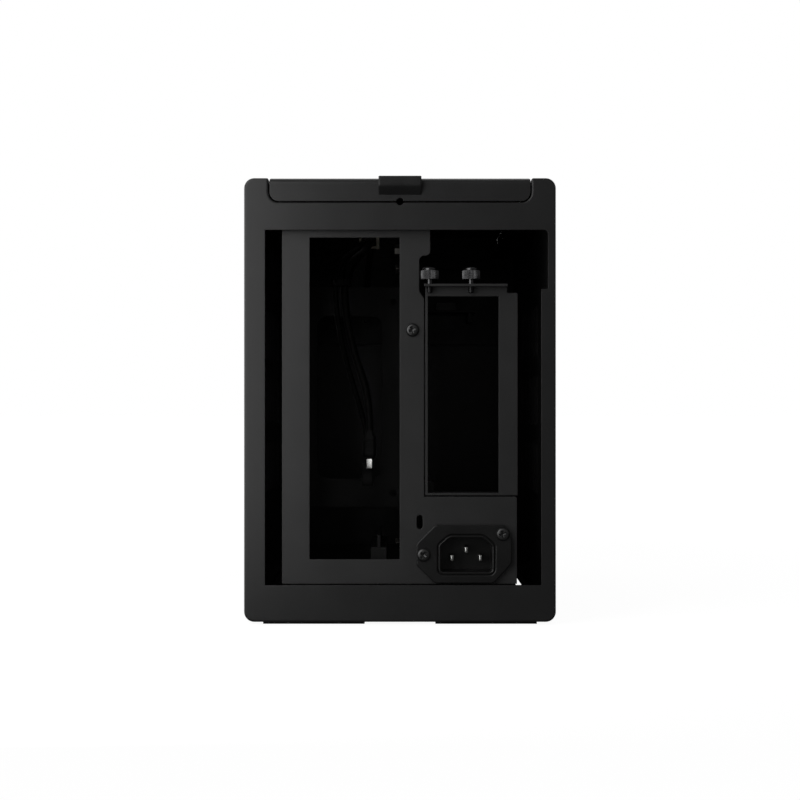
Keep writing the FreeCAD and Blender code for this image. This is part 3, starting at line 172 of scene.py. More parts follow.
class InletSettings(bpy.types.PropertyGroup):
    """Sizes of the mains inlet."""
    middle_side: length("Rim from the left", "From the flange's left edge to the rim's middle", 24.7 * MM)
    middle_rise: length("Rim from below", "From the flange's lower edge to the rim's middle", 14.0 * MM)
    corner_low: length("Lower corners", "Cut of the flange's lower corners", 9.0 * MM)
    corner_high: length("Upper left corner", "Cut of the flange's upper left corner", 9.4 * MM)
    corner_right: length("Upper right corner", "Cut of the flange's upper right corner", 3.7 * MM)
    flange: length("Flange", "Thickness of the flange", 2.8 * MM)
    rim_width: length("Rim width", "Width over the groove round the rim", 28.3 * MM)
    rim_height: length("Rim height", "Height over the groove round the rim", 19.8 * MM)
    rim_rise: length("Rim rise", "Of the rim over the flange", 0.4 * MM)
    rim_wall: length("Rim wall", "From the groove's outer edge to the cavity", 1.5 * MM)
    chamfer_run: length("Chamfer run", "Width of the cut at the rim's upper corners", 5.6 * MM)
    chamfer_drop: length("Chamfer drop", "Height of the cut at the rim's upper corners", 4.7 * MM)
    corner: length("Lower rounding", "Rounding of the rim's lower corners", 3.4 * MM)
    chamfer_corner: length("Upper rounding", "Rounding of the rim's upper corners", 1.7 * MM)
    cavity: length("Cavity", "Depth of the cavity behind the rim", 16.5 * MM)
    blade_width: length("Blade width", "Of each contact blade", 2.0 * MM)
    blade_height: length("Blade height", "Of each contact blade", 4.0 * MM)
    blade_tip: length("Blade tip", "Length of each blade's rounded tip", 0.5 * MM)


def new_object(name, data, body, material):
    """Links a piece, gives it its finish and sets it on its body."""
    piece = bpy.data.objects.new(name, data)
    bpy.context.scene.collection.objects.link(piece)
    data.materials.append(material)
    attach(piece, body)
    return piece


def mesh_of(name, grids, sharp=40.0):
    """One closed mesh of quads over several (points, wrapped in u, wrapped in v) grids.

    Points that fall together are merged, open ends are capped and the faces are turned outwards.
    Edges that bend by more than the sharp angle, in degrees, stay sharp.
    """
    places, quads, start = [], [], 0
    for points, wrap_u, wrap_v in grids:
        count_u, count_v = points.shape[:2]
        index = start + np.arange(count_u * count_v).reshape(count_u, count_v)
        if wrap_u:
            index = np.concatenate([index, index[:1]], axis=0)
        if wrap_v:
            index = np.concatenate([index, index[:, :1]], axis=1)
        corners = (index[:-1, :-1], index[1:, :-1], index[1:, 1:], index[:-1, 1:])
        quads.append(np.stack(corners, axis=-1).reshape(-1, 4))
        places.append(points.reshape(-1, 3))
        start += count_u * count_v
    mesh = bpy.data.meshes.new(name)
    mesh.from_pydata(np.concatenate(places), [], np.concatenate(quads).tolist())
    shape = bmesh.new()
    shape.from_mesh(mesh)
    bmesh.ops.remove_doubles(shape, verts=shape.verts, dist=MERGE_DISTANCE)
    open_edges = [edge for edge in shape.edges if edge.is_boundary]
    if open_edges:
        bmesh.ops.holes_fill(shape, edges=open_edges, sides=0)
    bmesh.ops.recalc_face_normals(shape, faces=shape.faces)
    shape.to_mesh(mesh)
    shape.free()
    mesh.shade_smooth()
    mesh.set_sharp_from_angle(angle=math.radians(sharp))
    return mesh


def smooth_step(values):
    """Rises from 0 to 1 with no corner: 3 t^2 - 2 t^3 of the clipped value."""
    clipped = np.clip(values, 0.0, 1.0)
    return clipped * clipped * (3 - 2 * clipped)


def turned(profile, sectors, wave=None):
    """A (radius, height) profile turned about its axis: rings of (r cos t, r sin t, height).

    The wave is a function of radius, height and angle that gives each ring's new radius.
    """
    radius, height = np.asarray(profile, float).T
    angle = np.linspace(0.0, 2 * np.pi, sectors, endpoint=False)
    rings = radius[:, None] * np.ones(sectors)
    if wave is not None:
        rings = wave(rings, height[:, None], angle[None, :])
    rise = np.broadcast_to(height[:, None], rings.shape)
    return np.stack([rings * np.cos(angle), rings * np.sin(angle), rise], axis=-1)


def with_recess(points, rows, settings):
    """Sinks a cross into the first rows: two crossed bars with soft walls, deepest at the middle."""
    across, along = points[:rows, :, 0], points[:rows, :, 1]
    half_width, half_span = settings.recess_width / 2, settings.recess_span / 2
    soft = 0.12 * MM
    shallower = 0.4

    def bar(a, b):
        wall = smooth_step((half_width - np.abs(a) + soft) / (2 * soft))
        end = smooth_step((half_span - np.abs(b) + soft) / (2 * soft))
        return wall * end

    taper = 1 - shallower * np.clip(np.hypot(across, along) / half_span, 0.0, 1.0)
    cross = np.maximum(bar(across, along), bar(along, across))
    sunk = points.copy()
    sunk[:rows, :, 2] -= settings.recess_depth * taper * cross
    return sunk


def on_axis(points, seat, axis, turn=0.0):
    """Stands local points on a seat, with their height along an axis and a turn about it."""
    up = np.asarray(axis, float)
    side = np.array([1.0, 0.0, 0.0])
    other = np.cross(up, side)
    first = side * math.cos(turn) + other * math.sin(turn)
    second = np.cross(up, first)
    return np.asarray(seat) + points @ np.stack([first, second, up])


def rounded_loop(half_x, half_y, power, count):
    """Closed rounded rectangle: half sizes times the signed 2/power powers of cosine and sine."""
    angle = np.linspace(0.0, 2 * np.pi, count, endpoint=False)
    x = half_x * np.sign(np.cos(angle)) * np.abs(np.cos(angle)) ** (2 / power)
    y = half_y * np.sign(np.sin(angle)) * np.abs(np.sin(angle)) ** (2 / power)
    return np.stack([x, y], axis=-1)


def set_sockets(node, values):
    """Sets a node's plain input values by the names of their sockets."""
    for socket, value in values.items():
        node.inputs[socket].default_value = value


def node_in(tree, kind, values=None, **settings):
    """A node with its settings and its plain socket values."""
    node = tree.nodes.new(kind)
    for key, value in settings.items():
        setattr(node, key, value)
    set_sockets(node, values or {})
    return node


def math_in(tree, operation):
    """A node that works out one plain operation."""
    return node_in(tree, "ShaderNodeMath", operation=operation)


def ramp_in(tree, low, high, at_low=0.0, at_high=1.0):
    """A node that goes from one value to another as its input goes from low to high."""
    return node_in(tree, "ShaderNodeMapRange", {
        "From Min": low, "From Max": high, "To Min": at_low, "To Max": at_high})


def wire(tree, *links):
    """Links sockets, each link given as a node, its output, the next node and its input."""
    for source, output, target, entry in links:
        tree.links.new(source.outputs[output], target.inputs[entry])


def grain_group():
    """Surface grain: fine noise as a height, and wide soft noise as a mottle."""
    name = "Surface grain"
    if name in bpy.data.node_groups:
        return bpy.data.node_groups[name]
    group = bpy.data.node_groups.new(name, "ShaderNodeTree")
    for socket in ("Fineness", "Patches"):
        group.interface.new_socket(socket, in_out="INPUT", socket_type="NodeSocketFloat")
    for socket in ("Height", "Mottle"):
        group.interface.new_socket(socket, in_out="OUTPUT", socket_type="NodeSocketFloat")
    entry = group.nodes.new("NodeGroupInput")
    leave = group.nodes.new("NodeGroupOutput")
    places = group.nodes.new("ShaderNodeTexCoord")
    fine = node_in(group, "ShaderNodeTexNoise", {"Detail": 2.0, "Roughness": 0.6})
    wide = node_in(group, "ShaderNodeTexNoise", {"Detail": 3.0, "Roughness": 0.5})
    for noise, scale, output in ((fine, "Fineness", "Height"), (wide, "Patches", "Mottle")):
        wire(
            group, (places, "Object", noise, "Vector"), (entry, scale, noise, "Scale"),
            (noise, "Fac", leave, output))
    return group


def finish(name, tint, roughness, spread=0.05, fineness=2500.0, patches=60.0, relief=0.02 * MM,
           shade=0.12, edge=0.5 * MM, **shader_values):
    """Grained finish: tint and roughness vary with the mottle, and the grain is a shallow bump."""
    mottle_low, mottle_high = 0.3, 0.7
    material = bpy.data.materials.new(name)
    material.use_nodes = True
    tree = material.node_tree
    shader = tree.nodes["Principled BSDF"]
    set_sockets(shader, {key.replace("_", " "): value for key, value in shader_values.items()})
    grain = node_in(
        tree, "ShaderNodeGroup", {"Fineness": fineness, "Patches": patches}, node_tree=grain_group())
    darker = [value * (1 - shade) for value in tint]
    lighter = [value * (1 + shade) for value in tint]
    mix = node_in(
        tree, "ShaderNodeMix", {"A": (*darker, 1.0), "B": (*lighter, 1.0)}, data_type="RGBA")
    rough = ramp_in(tree, mottle_low, mottle_high, roughness - spread, roughness + spread)
    bump = node_in(tree, "ShaderNodeBump", {"Strength": 1.0, "Distance": relief})
    if edge:
        soft_edge = node_in(tree, "ShaderNodeBevel", {"Radius": edge}, samples=4)
        wire(tree, (soft_edge, "Normal", bump, "Normal"))
    wire(
        tree, (grain, "Mottle", mix, "Factor"), (mix, "Result", shader, "Base Color"),
        (grain, "Mottle", rough, "Value"), (rough, "Result", shader, "Roughness"),
        (grain, "Height", bump, "Height"), (bump, "Normal", shader, "Normal"))
    return material


def with_painted_shade(material, edge, tint):
    """Paints shade over a metal finish: dark and not metallic everywhere behind the plane y = edge."""
    soft = 0.1 * MM
    tree = material.node_tree
    shader = tree.nodes["Principled BSDF"]
    places = tree.nodes.new("ShaderNodeTexCoord")
    split = tree.nodes.new("ShaderNodeSeparateXYZ")
    # Zero behind the edge, where shade is painted over the metal, and one in front, where the metal shows
    unshaded = ramp_in(tree, edge - soft, edge + soft)
    mix = node_in(tree, "ShaderNodeMix", {"A": (*tint, 1.0)}, data_type="RGBA")
    tree.links.new(shader.inputs["Base Color"].links[0].from_socket, mix.inputs["B"])
    wire(
        tree, (places, "Object", split, "Vector"), (split, "Y", unshaded, "Value"),
        (unshaded, "Result", mix, "Factor"), (mix, "Result", shader, "Base Color"),
        (unshaded, "Result", shader, "Metallic"))
    return material


def case_finishes(settings):
    """Every finish of the case, by the record's slot or by its own name."""
    # Length at each port's front that keeps its metal; everything behind it is painted shade
    unshaded_front = 0.6 * MM
    return {
        "shell_aluminium": finish(
            "Anodised shell", settings.shell, 0.31, spread=0.015, fineness=3200.0, relief=0.006 * MM),
        "chassis_steel": finish(
            "Powder-coated steel", settings.steel, 0.32, spread=0.02, fineness=1600.0),
        # Darker copy of the powder-coated steel: painted shade inside the case
        "inside": finish(
            "Inside powder coat with painted shade", settings.inside, 0.45, spread=0.03, fineness=1600.0),
        "dark_plastic": finish("Spark-eroded plastic", settings.plastic, 0.32, fineness=2600.0),
        "tab_leather": finish(
            "Pull-tab leather", settings.leather, 0.38, fineness=1100.0, relief=0.06 * MM),
        "foot_rubber": finish("Foot rubber", settings.rubber, 0.7, fineness=1800.0),
        "black_screw_steel": finish(
            "Black nickel", settings.screw, 0.26, fineness=1200.0, relief=0.004 * MM, edge=0.0,
            Metallic=1.0),
        "pan_screw": finish(
            "Black zinc", settings.zinc, 0.4, fineness=1500.0, relief=0.006 * MM, edge=0.0,
            Metallic=1.0),
        "bright_steel": finish(
            "Plated steel", settings.plated, 0.22, fineness=900.0, relief=0.003 * MM, edge=0.0,
            Metallic=1.0),
        "standoff_brass": finish(
            "Nickel-plated brass", settings.nickel, 0.25, fineness=900.0, relief=0.003 * MM,
            Metallic=1.0),
        "circuit_board": finish("Solder mask", settings.board, 0.35, fineness=700.0, shade=0.3),
        "lead_jacket": finish(
            "Lead jacket", settings.jacket, 0.5, fineness=1500.0, Specular_IOR_Level=0.25),
        "natural_nylon": finish("Natural nylon", settings.nylon, 0.45, fineness=900.0, shade=0.05),
        # Port shells painted dark behind their fronts in the jacket's colour: painted shade
        "port": with_painted_shade(
            finish("Port with painted shade", settings.plated, 0.25, fineness=900.0, relief=0.003 * MM, edge=0.0),
            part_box("usb_a_port_1")[1].y - unshaded_front, settings.jacket),
    }


def lead_points(route):
    """A route's points in metres, in the case's own frame."""
    return [(x * MM, REAR_Y + depth * MM, height * MM) for x, depth, height in route]


def lead_curve(name, route, diameter):
    """Round lead on one smooth NURBS spline whose control points are the route's points."""
    data = bpy.data.curves.new(name, "CURVE")
    data.dimensions = "3D"
    data.bevel_depth = diameter / 2
    data.bevel_resolution = 5
    data.resolution_u = 12
    data.use_fill_caps = True
    points = lead_points(route)
    spline = data.splines.new("NURBS")
    spline.points.add(len(points) - 1)
    spline.points.foreach_set("co", [value for point in points for value in (*point, 1.0)])
    spline.order_u = 3
    spline.use_endpoint_u = True
    return data


class CASE_OT_studio(bpy.types.Operator):
    """Make the camera, the lamps, the room light and the floor."""
    bl_idname = "case.studio"
    bl_label = "Studio"

    def execute(self, context):
        scene, settings = context.scene, context.scene.case_studio
        scene.view_settings.view_transform = "Standard"
        self.add_camera(scene, settings)
        self.add_lamps(scene, settings)
        self.add_room(scene, settings)
        self.add_floor(scene, settings)
        return {"FINISHED"}

    def add_camera(self, scene, settings):
        """Level camera on the middle of the rear face."""
        data = bpy.data.cameras.new("Camera")
        data.sensor_fit = "HORIZONTAL"
        data.sensor_width = 36.0
        data.lens = data.sensor_width * settings.camera_distance / settings.view_width
        data.clip_start = 0.01
        camera = bpy.data.objects.new("Camera", data)
        camera.location = (0.0, REAR_Y - settings.camera_distance, settings.camera_height)
        camera.rotation_euler = (math.pi / 2, 0.0, 0.0)
        scene.collection.objects.link(camera)
        scene.camera = camera

    def add_lamps(self, scene, settings):
        """A softbox at the camera's left, and wide lamps for the top, the front and the right side."""
        bright, fill = settings.softbox_radiance, settings.fill_radiance
        # Each lamp's name, place, target, width, height and radiance
        lamps = (
            ("Softbox", (-0.43, REAR_Y - 0.35, 0.31), (-0.43, REAR_Y, 0.31), 0.66, 0.80, bright),
            ("Top lamp", (0.25, 0.35, 1.30), (0.0, 0.05, 0.15), 0.9, 0.9, fill),
            ("Front lamp", (-0.45, 1.20, 0.55), (0.0, 0.17, 0.10), 0.9, 0.7, fill),
            ("Side lamp", (1.10, 0.25, 0.60), (0.0, 0.05, 0.10), 0.8, 0.8, fill))
        for name, place, target, width, height, radiance in lamps:
            data = bpy.data.lights.new(name, "AREA")
            data.shape = "RECTANGLE"
            data.size = width
            data.size_y = height
            data.energy = radiance * math.pi * width * height
            lamp = bpy.data.objects.new(name, data)
            lamp.location = place
            aim = Vector(np.subtract(target, place))
            lamp.rotation_euler = aim.to_track_quat("-Z", "Y").to_euler()
            lamp.visible_camera = False
            scene.collection.objects.link(lamp)

    def add_room(self, scene, settings):
        """White all round to the camera, white beyond the case to gloss, and dim room light."""
        world = bpy.data.worlds.new("Room")
        world.use_nodes = True
        scene.world = world
        tree = world.node_tree
        background = tree.nodes["Background"]
        background.inputs["Color"].default_value = (1.0, 1.0, 1.0, 1.0)
        rays = tree.nodes.new("ShaderNodeLightPath")
        places = tree.nodes.new("ShaderNodeTexCoord")
        split = tree.nodes.new("ShaderNodeSeparateXYZ")
        beyond = ramp_in(tree, 0.0, 0.5, settings.room_light, 1.0)
        mirror = math_in(tree, "MAXIMUM")
        gloss = node_in(tree, "ShaderNodeMix", {"A": settings.room_light}, data_type="FLOAT")
        strength = node_in(tree, "ShaderNodeMix", {"B": 1.0}, data_type="FLOAT")
        wire(
            tree, (places, "Generated", split, "Vector"), (split, "Y", beyond, "Value"),
            (rays, "Is Glossy Ray", mirror, 0), (rays, "Is Transmission Ray", mirror, 1),
            (mirror, "Value", gloss, "Factor"), (beyond, "Result", gloss, "B"),
            (gloss, "Result", strength, "A"), (rays, "Is Camera Ray", strength, "Factor"),
            (strength, "Result", background, "Strength"))

    def add_floor(self, scene, settings):
        """Wide pale floor that is white to the camera but for the case's shadow.

        Gloss sees that white beside the case and beyond it, and the plain floor before its rear.
        """
        reach = 12.0
        mesh = bpy.data.meshes.new("Floor")
        corners = [(-reach, -reach, 0.0), (reach, -reach, 0.0), (reach, reach, 0.0), (-reach, reach, 0.0)]
        mesh.from_pydata(corners, [], [(0, 1, 2, 3)])
        floor = bpy.data.objects.new("Floor", mesh)
        scene.collection.objects.link(floor)
        material = bpy.data.materials.new("Floor")
        material.use_nodes = True
        mesh.materials.append(material)
        tree = material.node_tree
        shader = tree.nodes["Principled BSDF"]
        set_sockets(shader, {
            "Base Color": (*settings.floor_colour, 1.0), "Roughness": 0.9, "Specular IOR Level": 0.0,
            "Emission Color": (1.0, 1.0, 1.0, 1.0)})
        rays = tree.nodes.new("ShaderNodeLightPath")
        places = tree.nodes.new("ShaderNodeTexCoord")
        split = tree.nodes.new("ShaderNodeSeparateXYZ")
        distance = node_in(tree, "ShaderNodeVectorMath", operation="LENGTH")
        side = math_in(tree, "ABSOLUTE")
        mirror, around, seen = (math_in(tree, "MAXIMUM") for _ in range(3))
        flank, sweep, glow = (math_in(tree, "MULTIPLY") for _ in range(3))
        # Metres over which the floor whitens, and over which gloss begins to see it
        white = ramp_in(tree, 0.4, 1.5, settings.floor_glow, 1.0)
        beyond = ramp_in(tree, REAR_Y + 0.35, REAR_Y + 0.55)
        beside = ramp_in(tree, 0.12, 0.5)
        past = ramp_in(tree, REAR_Y, REAR_Y + 0.15)
        wire(
            tree, (places, "Object", split, "Vector"), (split, "X", side, 0),
            (side, "Value", beside, "Value"), (split, "Y", past, "Value"),
            (beside, "Result", flank, 0), (past, "Result", flank, 1), (flank, "Value", around, 0),
            (split, "Y", beyond, "Value"), (beyond, "Result", around, 1),
            (rays, "Is Glossy Ray", mirror, 0), (rays, "Is Transmission Ray", mirror, 1),
            (mirror, "Value", sweep, 0), (around, "Value", sweep, 1),
            (rays, "Is Camera Ray", seen, 0), (sweep, "Value", seen, 1),
            (places, "Object", distance, 0), (distance, "Value", white, "Value"),
            (seen, "Value", glow, 0), (white, "Result", glow, 1),
            (glow, "Value", shader, "Emission Strength"))


class CASE_OT_finishes(bpy.types.Operator):
    """Give every solid of the frame the finish of its slot."""
    bl_idname = "case.finishes"
    bl_label = "Finishes"

    def execute(self, context):
        finishes = case_finishes(context.scene.case_finish)
        for row in frame["record"]["subparts"]:
            solid = frame["nodes"][row["node"]]
            look = SPECIAL.get(row["node"], row["material_slot"])
            for slot in solid.material_slots:
                slot.material = finishes[look]
        return {"FINISHED"}


def slot_finish(slot):
    """The plain finish that the frame's solids of one slot carry."""
    for row in frame["record"]["subparts"]:
        if row["material_slot"] == slot and row["node"] not in SPECIAL:
            return frame["nodes"][row["node"]].material_slots[0].material
    raise KeyError(slot)


def stand_for(node, body, grids, sharp=40.0):
    """A detailed piece that takes the place of one node of the frame."""
    look = frame["nodes"][node].material_slots[0].material
    piece = new_object(node + "_detail", mesh_of(node + "_detail", grids, sharp), body, look)
    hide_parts(node)


def add_trim(name, grid, slot):
    """A small piece on the chassis that stands for no node of the frame."""
    piece = new_object(name, mesh_of(name, [grid]), "chassis", slot_finish(slot))


class CASE_OT_leads(bpy.types.Operator):
    """Hang the two front-panel leads from their headers to their plugs."""
    bl_idname = "case.leads"
    bl_label = "Front-panel leads"

    def execute(self, context):
        for node, route, diameter, span, carried in LEADS:
            curve = lead_curve(node + "_cord", route, diameter)
            piece = new_object(node + "_cord", curve, "chassis", slot_finish("lead_jacket"))
            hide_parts(node)
        return {"FINISHED"}


def pan_screw(settings, seat, axis, turn, head, height, shank, reach):
    """Pan-head screw: a crown of height h (1 - (r / R)^5)^0.5 with a cross recess, on a plain shank."""
    share = np.sin(np.linspace(0.0, np.pi / 2, 32))
    crown = height * np.clip(1 - share ** 5, 0.0, 1.0) ** 0.5
    profile = [*zip(head / 2 * share, crown), (shank / 2, 0.0), (shank / 2, -reach), (0.0, -reach)]
    points = with_recess(turned(profile, sectors=96), len(share), settings)
    return on_axis(points, seat, axis, turn), False, True


def prism(loop, low, high, middle):
    """Upright prism on a closed loop, with its ends left to be capped."""
    rows = np.stack([np.insert(loop, 2, height, axis=1) for height in (low, high)])
    return rows + np.array([middle[0], middle[1], 0.0]), False, True


class CASE_OT_screws(bpy.types.Operator):
    """Make the pan-head screws of the plates, the inlet and the spine."""
    bl_idname = "case.screws"
    bl_label = "Pan-head screws"

    def execute(self, context):
        settings = context.scene.case_screws
        radius = settings.pan_head / 2
        low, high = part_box("centre_screw")
        self.add_plate_screws(settings, "centre_screw", settings.centre_height, (
            ((low.x + high.x) / 2, (low.z + high.z) / 2, 0.35),))
        low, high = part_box("inlet_screws")
        self.add_plate_screws(settings, "inlet_screws", settings.inlet_height, (
            (low.x + radius, low.z + radius, 0.9), (high.x - radius, high.z - radius, 0.25)))
        self.add_spine_screws(settings)
        return {"FINISHED"}

    def add_plate_screws(self, settings, node, height, seats):
        """Screws in a rear plate, each seat given as its x, its z and the turn of its recess."""
        low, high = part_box(node)
        face = low.y + height
        stand_for(node, "spine", [
            pan_screw(
                settings, (x, face, z), REARWARD, turn, settings.pan_head, height, settings.pan_shank,
                high.y - face)
            for x, z, turn in seats])

    def add_spine_screws(self, settings):
        """Three screws through the base into square nuts, and one through the brace."""
        low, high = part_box("spine_screws")
        middle = (low.x + high.x) / 2
        head, height, shank = settings.spine_head, settings.spine_height, settings.spine_shank
        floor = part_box("spine_plate")[0].z + settings.sheet
        nut_half = settings.spine_nut / 2
        nut = rounded_loop(nut_half, nut_half, power=10.0, count=48)
        first_turn, brace_turn, brace_reach = 0.4, 0.7, 3.0 * MM
        grids = []
        for number, depth in enumerate(BASE_SCREW_DEPTHS):
            y = REAR_Y + depth * MM
            grids.append(pan_screw(
                settings, (middle, y, floor), UPWARD, first_turn + number, head, height, shank,
                floor - low.z))
            grids.append(prism(nut, low.z, low.z + settings.spine_nut_height, (middle, y)))
        seat = (middle, REAR_Y + BRACE_SCREW_DEPTH * MM, high.z - height)
        grids.append(pan_screw(settings, seat, UPWARD, brace_turn, head, height, shank, brace_reach))
        stand_for("spine_screws", "spine", grids)


class CASE_OT_thumbscrews(bpy.types.Operator):
    """Make the two knurled hand screws in the card bracket's ledge."""
    bl_idname = "case.thumbscrews"
    bl_label = "Thumbscrews"

    def execute(self, context):
        settings = context.scene.case_screws
        for node in ("thumbscrew_left", "thumbscrew_right"):
            low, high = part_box(node)
            stand_for(node, node, [self.shape(settings, low, high)], sharp=30.0)
        return {"FINISHED"}

    def shape(self, settings, low, high):
        """Round cap, a knurled band, a plain neck and a threaded shank, turned about the screw's axis.

        The cap's radius is R cos(t)^0.5 at the height H sin(t). The band's radius drops by
        4 d u (1 - u) over each groove's share u of the angle, and the thread's by a cosine of
        height less angle, a helix.
        """
        head_height, groove, rounding = 6.4 * MM, 0.4 * MM, 0.2 * MM
        tip_height, tip_radius = 0.4 * MM, 0.6 * MM
        top = high.z - low.z
        head, shank = (high.x - low.x) / 2, settings.thumb_shank / 2
        cap, waist, brow = 0.85 * head, 0.72 * head, 0.95 * head
        cap_base, band_low = top - settings.cap_height, top - head_height
        band_high = cap_base - groove
        thread_high = band_low - settings.neck
        rise = np.linspace(np.pi / 2, 0.0, 18)
        thread_rows = np.arange(thread_high, tip_height, -settings.thread_pitch / 8)
        profile = [
            *zip(cap * np.cos(rise) ** 0.5, cap_base + settings.cap_height * np.sin(rise)),
            (waist, cap_base), (waist, band_high), (brow, band_high), (head, band_high - rounding),
            (head, (band_high + band_low) / 2), (head, band_low + rounding), (brow, band_low),
            (shank, band_low), (shank, (band_low + thread_high) / 2),
            *[(shank, height) for height in thread_rows], (tip_radius, 0.0), (0.0, 0.0)]

        def wave(rings, height, angle):
            share = angle * settings.knurl_count / (2 * np.pi) % 1.0
            teeth = 4 * share * (1 - share)
            knurled = rings - settings.knurl_depth * teeth * (rings > (brow + head) / 2)
            helix = 0.5 + 0.5 * np.cos(2 * np.pi * height / settings.thread_pitch - angle)
            threaded = (height < thread_high) & (rings > (tip_radius + shank) / 2)
            return knurled - settings.thread_depth * helix * threaded

        points = with_recess(
            turned(profile, 8 * settings.knurl_count, wave), len(rise) // 2, settings)
        seat = ((low.x + high.x) / 2, (low.y + high.y) / 2, low.z)
        return on_axis(points, seat, UPWARD), False, True


def lofted(node, outline, power, turn=0.0, count=48):
    """Rounded-rectangle rows through a node's box, turned together about its upright axis.

    Each row of the outline is a share of the height from the top, with the row's width and depth
    as shares of the box.
    """
    low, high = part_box(node)
    shares, wide, deep = np.asarray(outline, float).T[:, :, None]
    loop = rounded_loop(1.0, 1.0, power, count)
    across = (high.x - low.x) / 2 * wide * loop[None, :, 0]
    along = (high.y - low.y) / 2 * deep * loop[None, :, 1]
    rows = np.empty((len(outline), count, 3))
    rows[..., 0] = (low.x + high.x) / 2 + across * math.cos(turn) - along * math.sin(turn)
    rows[..., 1] = (low.y + high.y) / 2 + across * math.sin(turn) + along * math.cos(turn)
    rows[..., 2] = high.z - (high.z - low.z) * shares
    return rows, False, True


class CASE_OT_plugs(bpy.types.Operator):
    """Make the moulded plugs on the leads, the metal tip and the tie."""
    bl_idname = "case.plugs"
    bl_label = "Plugs and tie"

    def execute(self, context):
        self.add_usb_plug()
        sides = np.array((
            (0.0, 0.0), (0.0, 0.92), (0.03, 1.0), (0.3, 1.0), (0.32, 0.94), (0.55, 0.94), (0.57, 1.0),
            (0.97, 1.0), (1.0, 0.94), (1.0, 0.0)))
        stand_for("panel_plug", "chassis", [
            lofted("panel_plug", sides[:, (0, 1, 1)], power=10.0)])
        self.add_tie()
        return {"FINISHED"}

    def add_usb_plug(self):
        """Moulded plug with a relief, a ribbed grip and a collar, and its hollow metal tip.

        The grip's ribs are sunk by d (1 - cos(2 pi s / p)) / 2 at the share s of the plug's height.
        """
        turn = -0.14
        moulding = np.array((
            (0.0, 0.62, 0.8), (0.16, 0.7, 0.86), (0.22, 0.92, 0.95), (0.26, 1.0, 1.0), (0.9, 1.0, 1.0),
            (1.0, 0.92, 0.9), (1.012, 0.76, 0.7), (1.09, 0.76, 0.7)))
        grip_start, grip_end, grip_pitch, grip_depth = 0.36, 0.81, 0.075, 0.05
        along = np.linspace(0.0, moulding[-1, 0], 80)
        wide, deep = (np.interp(along, moulding[:, 0], moulding[:, column]) for column in (1, 2))
        ribs = 0.5 - 0.5 * np.cos(2 * np.pi * (along - grip_start) / grip_pitch)
        grip = grip_depth * ribs * ((along > grip_start) & (along < grip_end))
        outline = np.stack([along, wide - grip, deep - grip], axis=1)
        plug = lofted("usb_plug", outline, power=5.0, turn=turn)
        stand_for("usb_plug", "chassis", [plug])
        tip_outline = (
            (0.0, 0.0, 0.0), (0.0, 0.92, 1.0), (1.0, 0.9, 1.0), (1.06, 0.86, 0.94), (1.06, 0.78, 0.74),
            (0.45, 0.78, 0.74), (0.45, 0.0, 0.0))
        tip = lofted("usb_plug_tip", tip_outline, power=14.0, turn=turn)
        stand_for("usb_plug_tip", "chassis", [tip])

    def add_tie(self):
        """Strap of rounded section carried round a rounded rectangle, with its square head on one side."""
        wall, head_x, head_y, head_rise = 1.0 * MM, 2.2 * MM, 1.5 * MM, 0.9 * MM
        around, section_count, bend = 64, 24, 3.2
        low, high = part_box("cable_tie")
        middle = (low + high) / 2
        half_x, half_y, half_z = (high.x - low.x) / 2, (high.y - low.y) / 2, (high.z - low.z) / 2
        outer = rounded_loop(half_x, half_y, bend, around)
        inner = rounded_loop(half_x - wall, half_y - wall, bend, around)
        section = rounded_loop(0.5, half_z, power=6.0, count=section_count)
        ring = inner[:, None, :] + (outer - inner)[:, None, :] * (section[None, :, :1] + 0.5)
        rise = np.broadcast_to(section[None, :, 1:], (around, section_count, 1))
        strap = np.concatenate([ring, rise], axis=2) + np.array(middle)
        block = rounded_loop(head_x, head_y, power=6.0, count=40)
        shares = np.array((0.0, 0.9, 1.0, 1.0, 0.9, 0.0))[:, None, None]
        heights = np.array((-2.0, -2.0, -1.7, 1.7, 2.0, 2.0))[:, None, None] * MM
        sides = shares * block[None]
        rows = np.concatenate([sides, np.broadcast_to(heights, (*sides.shape[:2], 1))], axis=2)
        head = rows + np.array((middle.x, low.y - head_rise, middle.z))
        stand_for("cable_tie", "chassis", [(strap, True, True), (head, False, True)])


class CASE_OT_pull_tab(bpy.types.Operator):
    """Make the soft pull tab over the lid's rear edge."""
    bl_idname = "case.pull_tab"
    bl_label = "Pull tab"

    def execute(self, context):
        # Section as (distance forwards from the rear face, height over the lid), in millimetres
        section = np.array((
            (12.0, 0.0), (12.0, 0.5), (11.6, 0.9), (10.0, 0.9), (4.0, 0.9), (-1.4, 0.9), (-3.0, 0.8),
            (-3.5, 0.0), (-3.5, -2.6), (-3.4, -4.0), (-2.6, -5.2), (-0.9, -7.3), (-0.4, -8.0),
            (0.0, -8.3), (0.0, -7.0), (0.0, -3.5), (0.2, -1.2), (1.2, -0.2), (3.0, 0.0),
            (8.0, 0.0))) * MM
        # Two rounds of cutting each corner at the quarters of its sides
        for _ in range(2):
            ahead = np.roll(section, -1, axis=0)
            cut = np.stack([0.75 * section + 0.25 * ahead, 0.25 * section + 0.75 * ahead], axis=1)
            section = cut.reshape(-1, 2)
        # The ends draw in towards the section's heart over the last of the width
        drawn, heart, count = 0.06, np.array((-1.0, -2.2)) * MM, 41
        low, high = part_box("pull_tab")
        reach = np.sin(np.linspace(-np.pi / 2, np.pi / 2, count))
        size = 1 - drawn * np.clip((np.abs(reach) - (1 - drawn)) / drawn, 0.0, 1.0) ** 2
        shrunk = heart + (section - heart)[None] * size[:, None, None]
        rows = np.empty((count, len(section), 3))
        rows[..., 0] = ((low.x + high.x) / 2 + (high.x - low.x) / 2 * reach)[:, None]
        rows[..., 1] = REAR_Y + shrunk[..., 0]
        rows[..., 2] = TOP_Z + shrunk[..., 1]
        stand_for("pull_tab", "lid", [(rows, False, True)], sharp=60.0)
        return {"FINISHED"}


